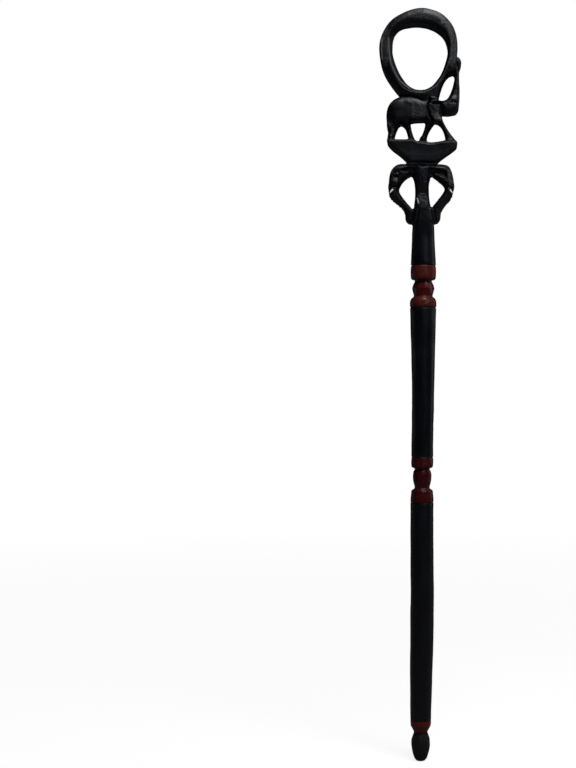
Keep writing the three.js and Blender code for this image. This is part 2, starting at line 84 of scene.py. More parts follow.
def newMaterial(name, **sockets):
    material = bpy.data.materials.new(name)
    material.use_nodes = True
    shader = material.node_tree.nodes["Principled BSDF"]
    for socket, value in sockets.items():
        shader.inputs[socket.replace("_", " ")].default_value = value
    return material, material.node_tree, shader


def speckle(tree, texture):
    scale, size, detail, roughness = texture
    place = addNode(tree, "TexCoord").outputs["Object"]
    spot = addNode(tree, "Mapping", {"Vector": place, "Scale": scale}).outputs["Vector"]
    sockets = {"Vector": spot, "Scale": size, "Detail": detail, "Roughness": roughness}
    return addNode(tree, "TexNoise", sockets).outputs["Fac"]


def spread(tree, value, source, target=(0.0, 1.0)):
    (low, high), (toLow, toHigh) = source, target
    sockets = {"Value": value, "From Min": low, "From Max": high, "To Min": toLow, "To Max": toHigh}
    return addNode(tree, "MapRange", sockets).outputs["Result"]


def maths(tree, operation, first, second):
    return addNode(tree, "Math", {0: first, 1: second}, operation=operation).outputs[0]


def mixed(tree, share, first, second):
    return addNode(tree, "Mix", {0: share, 6: first, 7: second}, data_type="RGBA").outputs[2]


# The wear attribute: rubbed wear, and on the carved head also painted highlights
def wearAndHighlightOf(tree):
    return addNode(tree, "Attribute", attribute_name="wear").outputs["Fac"]


# Links colour, roughness and bumps to the shader
def coat(tree, shader, color, roughness, height, bump):
    strength, distance = bump
    sockets = {"Height": height, "Strength": strength, "Distance": distance}
    normal = addNode(tree, "Bump", sockets).outputs["Normal"]
    for socket, value in (("Base Color", color), ("Roughness", roughness), ("Normal", normal)):
        tree.links.new(value, shader.inputs[socket])


# Wear and painted highlights up to 1 turn the black wood pale, and from 1 to 2 it shows a fresh splinter
blackWood = {
    "deep": (0.0007, 0.0011, 0.0040, 1), "bare": (0.0026, 0.0034, 0.0080, 1),
    "worn": (0.26, 0.27, 0.275, 1), "splinter": (0.75, 0.72, 0.66, 1),
    "grain": ((1, 1, 0.05), 900, 5, 0.65), "blotch": ((1, 1, 0.4), 55, 4, 0.6),
    "fleck": ((1, 1, 0.6), 1300, 3, 0.7), "blotchRange": (0.35, 0.7), "fleckRange": (0.38, 0.58),
    "rubRange": (0.35, 1.0), "splinterRange": (1, 2), "polishRange": (0.7, 1.3), "gloss": (0.32, 0.5),
    "wornDull": 0.2, "fleckHeight": 0.3, "bump": (0.35, 0.0003), "shine": 0.36,
}


def blackWoodMaterial(name, finish):
    material, tree, shader = newMaterial(name, Specular_IOR_Level=finish["shine"])
    grain, blotch, fleck = [speckle(tree, finish[texture]) for texture in ("grain", "blotch", "fleck")]
    wear = wearAndHighlightOf(tree)
    wood = mixed(tree, spread(tree, blotch, finish["blotchRange"]), finish["deep"], finish["bare"])
    flecked = maths(tree, "MULTIPLY", wear, spread(tree, fleck, finish["fleckRange"], finish["rubRange"]))
    # Pale grey for rubbed wear and for painted highlights
    rubbedAndLit = mixed(tree, flecked, wood, finish["worn"])
    color = mixed(tree, spread(tree, wear, finish["splinterRange"]), rubbedAndLit, finish["splinter"])
    polish = spread(tree, maths(tree, "ADD", grain, blotch), finish["polishRange"], finish["gloss"])
    roughness = maths(tree, "ADD", polish, maths(tree, "MULTIPLY", wear, finish["wornDull"]))
    height = maths(tree, "ADD", grain, maths(tree, "MULTIPLY", fleck, finish["fleckHeight"]))
    coat(tree, shader, color, roughness, height, finish["bump"])
    return material


# Wear turns the red wood browner
redWood = {
    "deep": (0.056, 0.0034, 0.0036, 1), "light": (0.115, 0.0096, 0.0098, 1),
    "wornDeep": (0.068, 0.0095, 0.0062, 1), "wornLight": (0.140, 0.0280, 0.0175, 1),
    "grain": ((1, 1, 0.06), 700, 6, 0.7), "blotch": ((1, 1, 0.7), 90, 4, 0.6), "lightRange": (0.75, 1.3),
    "polishRange": (0.3, 0.7), "gloss": (0.24, 0.4), "bump": (0.25, 0.0002), "shine": 0.12,
    "polish": 0.25, "polishRoughness": 0.24,
}


def redWoodMaterial(name, finish):
    material, tree, shader = newMaterial(
        name, Coat_Weight=finish["polish"], Coat_Roughness=finish["polishRoughness"],
        Specular_IOR_Level=finish["shine"])
    grain, blotch = speckle(tree, finish["grain"]), speckle(tree, finish["blotch"])
    share = spread(tree, maths(tree, "ADD", grain, blotch), finish["lightRange"])
    color = mixed(tree, wearAndHighlightOf(tree), mixed(tree, share, finish["deep"], finish["light"]),
                  mixed(tree, share, finish["wornDeep"], finish["wornLight"]))
    roughness = spread(tree, blotch, finish["polishRange"], finish["gloss"])
    coat(tree, shader, color, roughness, grain, finish["bump"])
    return material


plainFinishes = {
    "polishedBone": {"pale": (0.93, 0.92, 0.88, 1), "dark": (0.78, 0.74, 0.66, 1),
                     "grain": ((1, 1, 0.15), 1500, 5, 0.6), "gloss": (0.3, 0.5), "metal": 0.0},
    "turnedSteel": {"pale": (0.72, 0.72, 0.74, 1), "dark": (0.50, 0.50, 0.52, 1),
                    "grain": ((1, 1, 1), 1200, 5, 0.6), "gloss": (0.3, 0.5), "metal": 0.6},
    "turnedBrass": {"pale": (0.80, 0.58, 0.25, 1), "dark": (0.56, 0.38, 0.15, 1),
                    "grain": ((1, 1, 1), 1200, 5, 0.6), "gloss": (0.3, 0.5), "metal": 0.6},
    "paleDowelWood": {"pale": (0.50, 0.34, 0.19, 1), "dark": (0.30, 0.18, 0.09, 1),
                      "grain": ((1, 1, 0.05), 900, 5, 0.6), "gloss": (0.55, 0.75), "metal": 0.0},
}
plainSurface = {"colorRange": (0.35, 0.65), "polishRange": (0.3, 0.7), "bump": (0.15, 0.0001)}


def plainMaterial(name, finish):
    material, tree, shader = newMaterial(name, Metallic=finish["metal"])
    grain = speckle(tree, finish["grain"])
    color = mixed(tree, spread(tree, grain, plainSurface["colorRange"]), finish["dark"], finish["pale"])
    roughness = spread(tree, grain, plainSurface["polishRange"], finish["gloss"])
    coat(tree, shader, color, roughness, grain, plainSurface["bump"])
    return material


blackMaterial = blackWoodMaterial("waxedBlackWood", blackWood)
footMaterial = blackWoodMaterial("mattBlackWood", {
    **blackWood, "deep": (0.0050, 0.0052, 0.0056, 1), "bare": (0.0085, 0.0087, 0.0091, 1),
    "grain": ((1, 1, 0.05), 500, 5, 0.65), "gloss": (0.5, 0.75)})
redMaterial = redWoodMaterial("redHardwood", redWood)
wineMaterial = redWoodMaterial("wineRedHardwood", {
    **redWood, "deep": (0.043, 0.0024, 0.0036, 1), "light": (0.090, 0.0072, 0.0092, 1)})
# The collar's own crimson, raised brighter to make up for the shade on its downward-facing sides: painted
# light
brightenedCollarMaterial = redWoodMaterial("redCollarWoodBrightened", {
    **redWood, "deep": (0.120, 0.0060, 0.0074, 1), "light": (0.180, 0.0110, 0.0126, 1)})
boneMaterial, steelMaterial, brassMaterial, paleMaterial = [
    plainMaterial(name, finish) for name, finish in plainFinishes.items()]
print("materials made")

# Floor, white surroundings and lamps, in metres
white = (1, 1, 1, 1)
studio = {
    "floorRadius": 200, "floorSteps": 96, "floorColor": (0.3, 0.3, 0.3, 1), "floorRoughness": 0.9,
    "glowReach": (0.8, 3.0), "glow": (0.88, 1.0), "ambient": 0.012, "backdrop": 1.0,
    "lamps": {
        "leftBox": {"at": (-1.4, 0.6, 0.3), "size": (0.6, 0.9), "power": 0.45},
        "rightBox": {"at": (1.4, 0.5, 1.0), "size": (0.6, 1.8), "power": 2.7},
        "glintBox": {"at": (0.7, -1.0, 1.65), "size": (0.35, 0.35), "power": 1.8},
        "topBox": {"at": (0.3, -0.75, 2.2), "size": (0.9, 0.7), "power": 19},
        "frontBox": {"at": (0.9, -1.8, 1.4), "size": (1.0, 1.0), "power": 2.2},
    },
}


# Where a lamp or tusk stands, with its front axis along a direction
def pointed(spot, direction, front, side):
    return Matrix.Translation(spot) @ direction.to_track_quat(front, side).to_matrix().to_4x4()


def floorMaterial():
    material, tree, shader = newMaterial("paleFloor", Roughness=studio["floorRoughness"],
                                         Base_Color=studio["floorColor"], Emission_Color=white)
    place = addNode(tree, "TexCoord").outputs["Object"]
    away = addNode(tree, "VectorMath", {0: place}, operation="LENGTH").outputs["Value"]
    glow = spread(tree, away, studio["glowReach"], studio["glow"])
    seen = addNode(tree, "LightPath").outputs["Is Camera Ray"]
    tree.links.new(maths(tree, "MULTIPLY", glow, seen), shader.inputs["Emission Strength"])
    return material


def addStudio():
    world = bpy.data.worlds.new("studio")
    world.use_nodes = True
    tree = world.node_tree
    seen = addNode(tree, "LightPath").outputs["Is Camera Ray"]
    strength = spread(tree, seen, (0, 1), (studio["ambient"], studio["backdrop"]))
    tree.nodes["Background"].inputs["Color"].default_value = white
    tree.links.new(strength, tree.nodes["Background"].inputs["Strength"])
    bpy.context.scene.world = world

    bm = bmesh.new()
    bmesh.ops.create_circle(bm, cap_ends=True, segments=studio["floorSteps"], radius=studio["floorRadius"])
    floor = bpy.data.objects.new("floor", bpy.data.meshes.new("floor"))
    bm.to_mesh(floor.data)
    bm.free()
    bpy.context.scene.collection.objects.link(floor)
    floor.data.materials.append(floorMaterial())

    aim = Vector((0, 0, view["height"] * mm))
    for name, lamp in studio["lamps"].items():
        data = bpy.data.lights.new(name, "AREA")
        data.shape = "RECTANGLE"
        data.size, data.size_y = lamp["size"]
        data.energy = lamp["power"]
        light = bpy.data.objects.new(name, data)
        spot = Vector(lamp["at"])
        light.matrix_world = pointed(spot, aim - spot, "-Z", "Y")
        bpy.context.scene.collection.objects.link(light)


addStudio()
bpy.context.scene.view_settings.view_transform = "Standard"
print("light and floor set")


def trianglesOf(mesh):
    return sum(len(face.vertices) - 2 for face in mesh.polygons)


# A finished piece: smooth shaded, riding on its body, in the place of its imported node
def addPiece(name, mesh, material, body, node, sharpAngle=None):
    mesh.name = name
    piece = bpy.data.objects.new(name, mesh)
    bpy.context.scene.collection.objects.link(piece)
    mesh.materials.clear()
    mesh.materials.append(material)
    mesh.shade_smooth()
    if sharpAngle:
        mesh.set_sharp_from_angle(angle=math.radians(sharpAngle))
    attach(piece, body)
    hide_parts(node)
    print(name, "has", trianglesOf(mesh), "triangles")


# Turned pieces: profile rows are radius and level, spun about the stick's axis
spinning = {"samePoint": 0.01, "waveRound": 2, "rippleRound": 3}      # the last two: noise round a piece


def spunMesh(rows, steps, closed, rowStep):
    bm = bmesh.new()
    verts = [bm.verts.new((radius * mm, 0, level * mm)) for radius, level in rows]
    edges = [bm.edges.new(pair) for pair in zip(verts, verts[1:] + verts[:1] if closed else verts[1:])]
    for edge in edges:
        cuts = int(edge.calc_length() / (rowStep * mm))
        if cuts:
            bmesh.ops.subdivide_edges(bm, edges=[edge], cuts=cuts)
    bmesh.ops.spin(bm, geom=bm.verts[:] + bm.edges[:], cent=(0, 0, 0), axis=(0, 0, 1), dvec=(0, 0, 0),
                   angle=2 * math.pi, steps=steps, use_merge=True, use_duplicate=False)
    bmesh.ops.remove_doubles(bm, verts=bm.verts, dist=spinning["samePoint"] * mm)
    bmesh.ops.recalc_face_normals(bm, faces=bm.faces)
    return bm


def finished(bm, name):
    mesh = bpy.data.meshes.new(name)
    bm.to_mesh(mesh)
    bm.free()
    return mesh


def radiusOf(vert):
    return math.hypot(vert.co.x, vert.co.y)


def angleOf(vert):
    return math.atan2(vert.co.y, vert.co.x)


def widen(vert, factor):
    vert.co.x *= factor
    vert.co.y *= factor


# How far a polygon's flats lie inside its corners at an angle round the axis
def flatDip(angle, sides, turn):
    span = 2 * math.pi / sides
    return 1 - math.cos(span / 2) / np.cos((angle + turn) % span - span / 2)


# Knife-worked surface: flats round the piece, slow waves and ripples along it, and a slight bow
def handWork(bm, work, lowest, highest):
    for vert in bm.verts:
        radius, level = radiusOf(vert), vert.co.z / mm
        if radius < work["keepInside"] * mm or not lowest <= level <= highest:
            continue
        angle = angleOf(vert)
        fade = min(1, min(level - lowest, highest - level) / work["fade"] + work["endShare"])
        dip = work["flatShare"] * flatDip(angle, work["flats"], work["turn"] + work["twist"] * level)
        spot = Vector((math.cos(angle) * spinning["waveRound"], math.sin(angle) * spinning["waveRound"],
                       level / work["waveLength"] + work["seed"]))
        wave = work["wave"] * mm * noise.noise(spot)
        spot = Vector((angle * spinning["rippleRound"], level / work["rippleLength"], work["seed"]))
        ripple = work["ripple"] * mm * noise.noise(spot)
        widen(vert, (radius * (1 - dip * fade) + (wave + ripple) * fade) / radius)
        vert.co.x += work["bow"] * mm * math.sin(math.pi * (level - lowest) / (highest - lowest)) ** 2


# Short knife nicks in a piece's front, from one spot across and up to another
nick = {"halfWidth": 0.8, "depth": 0.5, "steep": 1.6}


def cutNicks(bm, nicks):
    for first, second in nicks:
        start, end = Vector(first), Vector(second)
        for vert in bm.verts:
            spot = Vector((vert.co.x / mm, vert.co.z / mm))
            near, share = geometry.intersect_point_line(spot, start, end)
            near = start.lerp(end, min(1, max(0, share)))
            rise = 1 - (spot - near).length / nick["halfWidth"]
            if rise > 0 and vert.co.y < 0:
                vert.co.y += nick["depth"] * mm * min(1, rise * nick["steep"])


def flattenBead(bm, bead, keepInside):
    for vert in bm.verts:
        level = vert.co.z / mm
        if bead["low"] < level < bead["high"] and radiusOf(vert) > keepInside * mm:
            rise = math.sin(math.pi * (level - bead["low"]) / (bead["high"] - bead["low"]))
            widen(vert, 1 - bead["share"] * rise * flatDip(angleOf(vert), bead["flats"], bead["turn"]))


# Writes the wear attribute, which on the carved head also holds painted highlights
def setWearAndHighlight(mesh, values):
    mesh.attributes.new("wear", "FLOAT", "POINT").data.foreach_set("value", values)


# How far a red piece is worn to its browner wood, by level
def wearRed(mesh, rubbedAndLit):
    levels, shares = zip(*rubbedAndLit)
    setWearAndHighlight(mesh, [float(np.interp(vert.co.z / mm, levels, shares)) for vert in mesh.vertices])


# One turned piece, worked by hand between its two "worked" levels
def addTurned(name, piece):
    bm = spunMesh(piece["rows"], piece["steps"], piece["closed"], piece["rowStep"])
    handWork(bm, piece["work"], *piece["worked"])
    if "bead" in piece:
        flattenBead(bm, piece["bead"], piece["work"]["keepInside"])
    cutNicks(bm, piece.get("nicks", []))
    mesh = finished(bm, name)
    if "rubbedAndLit" in piece:
        wearRed(mesh, piece["rubbedAndLit"])
    addPiece(name, mesh, piece["material"], piece["body"], piece["node"], piece["sharpAngle"])


# What the two shafts, the two spools and the two pieces of the foot share
shaftMake = {"material": blackMaterial, "slot": "black_wood", "closed": False, "steps": 96, "rowStep": 3,
             "sharpAngle": 40}
spoolMake = {"slot": "red_wood", "closed": True, "steps": 180, "rowStep": 0.6, "sharpAngle": 45}
footMake = {"body": "lower_section", "steps": 80, "rowStep": 1.2, "sharpAngle": 45}
middleShaft = {
    **shaftMake, "node": "middle_shaft", "body": "middle_section", "worked": (369.0, 549.8),
    "rows": [(0, 342.7), (5.8, 342.7), (5.8, 369.0), (13.0, 369.0), (13.4, 369.5), (13.3, 376), (13.3, 385),
             (13.3, 401), (13.4, 420), (13.6, 440), (13.9, 460), (14.3, 480), (14.8, 500), (15.3, 515),
             (15.8, 536), (16.0, 548.6), (15.6, 549.8), (4.3, 549.8), (4.3, 515.5), (0, 515.5)],
    "work": {"keepInside": 7, "fade": 14, "endShare": 0.25, "flats": 10, "flatShare": 0.28, "turn": 0.3,
             "twist": 0.0012, "wave": 0.45, "waveLength": 26, "ripple": 0.12, "rippleLength": 7, "seed": 3.1,
             "bow": 0.5},
}
lowerShaft = {
    **shaftMake, "node": "lower_shaft", "body": "lower_section", "worked": (49.9, 313.4),
    "rows": [(0, 75.5), (3.3, 75.5), (3.3, 49.9), (12.2, 49.9), (12.7, 50.4), (12.9, 60), (13.1, 73),
             (13.4, 88), (13.7, 105), (14.1, 125), (14.3, 146), (14.4, 175), (14.3, 210), (14.2, 250),
             (14.1, 290), (14.1, 312.4), (13.7, 313.4), (4.3, 313.4), (4.3, 279.1), (0, 279.1)],
    "work": {"keepInside": 7, "fade": 14, "endShare": 0.25, "flats": 9, "flatShare": 0.26, "turn": 0.9,
             "twist": 0.0009, "wave": 0.4, "waveLength": 30, "ripple": 0.12, "rippleLength": 8, "seed": 8.7,
             "bow": 1.0},
}
upperSpool = {
    **spoolMake, "node": "upper_spool", "body": "head_section", "material": redMaterial,
    "worked": (550.1, 601.3),
    "rows": [(6.1, 550.1), (15.0, 550.1), (15.9, 551), (16.3, 553), (16.1, 556.5), (15.5, 559.2),
             (14.2, 561.3), (12.5, 562.6), (11.6, 563.8), (11.5, 565.2), (12.0, 566.6), (12.9, 569.9),
             (13.6, 573.2), (13.6, 574.0), (12.6, 577.4), (11.2, 580.4), (10.6, 581.4), (10.4, 582.4),
             (10.7, 583.2), (12.6, 583.6), (14.3, 584.3), (15.1, 585.8), (15.5, 589), (15.5, 594),
             (15.3, 598), (15.1, 600.2), (14.2, 601.3), (6.1, 601.3)],
    "work": {"keepInside": 7, "fade": 6, "endShare": 0.35, "flats": 14, "flatShare": 0.3, "turn": 0.1,
             "twist": 0, "wave": 0.25, "waveLength": 9, "ripple": 0.07, "rippleLength": 5, "seed": 1.4,
             "bow": 0},
    "bead": {"low": 566.4, "high": 581.6, "flats": 6, "share": 0.55, "turn": 0},
    "rubbedAndLit": [(550, 0.35), (554, 0.85), (560, 0.8), (563, 0.1), (580, 0.05), (585, 0.75), (592, 1),
               (601, 0.9)],
    "nicks": [((1.0, 554.7), (11.2, 559.3)), ((3.4, 557.6), (8.6, 560.6)), ((6.0, 553.6), (10.4, 555.0))],
}
lowerSpool = {
    **spoolMake, "node": "lower_spool", "body": "middle_section", "material": wineMaterial,
    "worked": (313.7, 368.7),
    "rows": [(6.1, 313.7), (13.5, 313.7), (14.0, 314.2), (14.0, 318), (13.6, 323), (13.2, 327.2),
             (12.4, 328.8), (10.5, 329.6), (9.3, 330.8), (9.1, 332.2), (9.3, 334), (10.2, 336.6),
             (11.2, 340.2), (11.5, 345), (11.3, 348.5), (10.6, 351.4), (9.6, 352.8), (9.3, 354), (9.6, 355),
             (11.4, 355.6), (12.7, 356.3), (13.2, 357.6), (13.4, 361), (13.3, 366.5), (13.0, 368.3),
             (12.6, 368.7), (6.1, 368.7)],
    "work": {"keepInside": 7, "fade": 6, "endShare": 0.35, "flats": 12, "flatShare": 0.3, "turn": 0.5,
             "twist": 0, "wave": 0.3, "waveLength": 11, "ripple": 0.06, "rippleLength": 5, "seed": 5.2,
             "bow": 0},
    "bead": {"low": 336, "high": 352.8, "flats": 8, "share": 0.3, "turn": 0.2},
    "rubbedAndLit": [(313, 0.1), (320, 0.12), (330, 0), (356, 0), (360, 0.2), (368, 0.15)],
    "nicks": [((-9, 321.4), (-3, 323.4)), ((2, 361.6), (8, 362.4))],
}
footCollar = {
    **footMake, "node": "foot_collar", "material": brightenedCollarMaterial, "slot": "red_wood", "closed": True,
    "worked": (35.5, 49.6), "rubbedAndLit": [(35, 0.15), (50, 0.35)],
    "rows": [(3.3, 35.5), (8.4, 35.5), (8.7, 36.1), (10.0, 38.6), (11.6, 41.4), (12.3, 43), (12.6, 46),
             (12.6, 49), (12.3, 49.6), (3.3, 49.6)],
    "work": {"keepInside": 5, "fade": 3, "endShare": 0.4, "flats": 11, "flatShare": 0.4, "turn": 0.2,
             "twist": 0, "wave": 0.3, "waveLength": 8, "ripple": 0.1, "rippleLength": 4, "seed": 2.6,
             "bow": 0},
}
footTip = {
    **footMake, "node": "foot_tip", "material": footMaterial, "slot": "foot_black", "closed": False,
    "worked": (0, 35.2),
    "rows": [(0, 0), (3.6, 0), (5.2, 0.5), (7.4, 3), (9.3, 7.5), (10.8, 13), (11.7, 19), (11.7, 22.5),
             (11.1, 27), (9.8, 31), (8.9, 33), (8.4, 34.4), (8.2, 35.2), (3.3, 35.2), (3.3, 17.9), (0, 17.9)],
    "work": {"keepInside": 3.5, "fade": 8, "endShare": 0.1, "flats": 10, "flatShare": 0.7, "turn": 0.1,
             "twist": 0.01, "wave": 0.45, "waveLength": 8, "ripple": 0.15, "rippleLength": 4, "seed": 6.3,
             "bow": 0},
}
for name, piece in (("middleShaft", middleShaft), ("lowerShaft", lowerShaft), ("upperSpool", upperSpool),
                    ("lowerSpool", lowerSpool), ("footCollar", footCollar), ("footTip", footTip)):
    addTurned(name, piece)

# Steel studs, a machine thread above the joint and a wood thread below, in brass inserts
screw = {
    "joints": {"upper": {"level": 549.8, "above": "head_section"},
               "lower": {"level": 313.4, "above": "middle_section"}},
    "grip": 17.5, "anchor": 34, "crest": 4.0, "root": 3.35, "pitch": 1.25, "woodPitch": 3.0, "woodRoot": 2.8,
    "woodSharp": 2.4, "plain": 3, "chamfer": 1.2, "keepInside": 2, "steps": 36, "rowStep": 0.25,
    "sharpAngle": 50,
}
insert = {"bore": 4.35, "boreReach": 0.01, "groove": 0.4, "outer": 5.6, "length": 20, "clearance": 0.3,
          "rim": 0.4}


# Share of the thread's height at a point: 0 in the root, 1 on the crest
def threadShare(vert, pitch):
    turn = (vert.co.z / mm / pitch - angleOf(vert) / (2 * math.pi)) % 1
    return 1 - abs(2 * turn - 1)


def addStud(place, level):
    low, high = level - screw["anchor"], level + screw["grip"]
    crest, chamfer, plain = screw["crest"], screw["chamfer"], screw["plain"]
    rows = [(0, low), (crest - chamfer, low), (crest, low + chamfer), (crest, high - chamfer),
            (crest - chamfer, high), (0, high)]
    bm = spunMesh(rows, screw["steps"], False, screw["rowStep"])
    for vert in bm.verts:
        radius, height = radiusOf(vert), vert.co.z / mm
        if radius < screw["keepInside"] * mm:
            continue
        machine = height > level - plain / 2
        share = threadShare(vert, screw["pitch"] if machine else screw["woodPitch"])
        if abs(height - level + plain) < plain / 2:
            share = 1
        if not machine:
            share = max(0, screw["woodSharp"] * share + 1 - screw["woodSharp"])
        root = screw["root"] if machine else screw["woodRoot"]
        limit = (root + (crest - root) * share) * mm
        if radius > limit:
            widen(vert, limit / radius)
    name = place + "Stud"
    addPiece(name, finished(bm, name), steelMaterial, place + "_screw", place + "_stud",
             screw["sharpAngle"])


def addInsert(place, level, body):
    bore, outer, rim = insert["bore"], insert["outer"], insert["rim"]
    low, high = level + insert["clearance"], level + insert["length"]
    rows = [(bore, low), (outer - rim, low), (outer, low + rim), (outer, high - rim), (outer - rim, high),
            (bore, high)]
    bm = spunMesh(rows, screw["steps"], True, screw["rowStep"])
    for vert in bm.verts:
        radius = radiusOf(vert)
        if radius < (bore + insert["boreReach"]) * mm:
            widen(vert, 1 + insert["groove"] * threadShare(vert, screw["pitch"]) * mm / radius)
    name = place + "Insert"
    addPiece(name, finished(bm, name), brassMaterial, body, place + "_insert", screw["sharpAngle"])


for place, joint in screw["joints"].items():
    addStud(place, joint["level"])
    addInsert(place, joint["level"], joint["above"])
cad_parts["foot_dowel"].data.materials.clear()
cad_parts["foot_dowel"].data.materials.append(paleMaterial)
print("turned pieces done")

# Tusks: tapered bone pegs, bent a little, set in the mouths
tusk = {
    "middle": -3.1, "across": 33.4, "level": 693.4, "depth": 12.2, "aim": (0.46, 0.5, -0.72), "length": 9.6,
    "rows": [(0, 0), (1.3, 0), (1.35, 2.5), (1.28, 4.5), (1.12, 6.5), (0.9, 8.2), (0.62, 9.2), (0.3, 9.6),
             (0, 9.65)],
    "flat": 0.84, "bend": 0.5, "steps": 24, "rowStep": 0.6,
}


def addTusks():
    out, forward, down = tusk["aim"]
    for side, face, place in ((-1, -1, ("left", "front")), (-1, 1, ("left", "back")),
                              (1, -1, ("right", "front")), (1, 1, ("right", "back"))):
        bm = spunMesh(tusk["rows"], tusk["steps"], False, tusk["rowStep"])
        for vert in bm.verts:
            bend = tusk["bend"] * mm * (vert.co.z / mm / tusk["length"]) ** 2
            vert.co.x = vert.co.x * tusk["flat"] + bend
        aim = Vector((side * out, face * forward, down)).normalized()
        spot = Vector((tusk["middle"] + side * tusk["across"], face * tusk["depth"], tusk["level"])) * mm
        bmesh.ops.transform(bm, matrix=pointed(spot, aim, "Z", "X"), verts=bm.verts)
        name = "tusk" + "".join(word.capitalize() for word in place)
        addPiece(name, finished(bm, name), boneMaterial, "head_section", "tusk_" + "_".join(place))


addTusks()
print("tusks done")

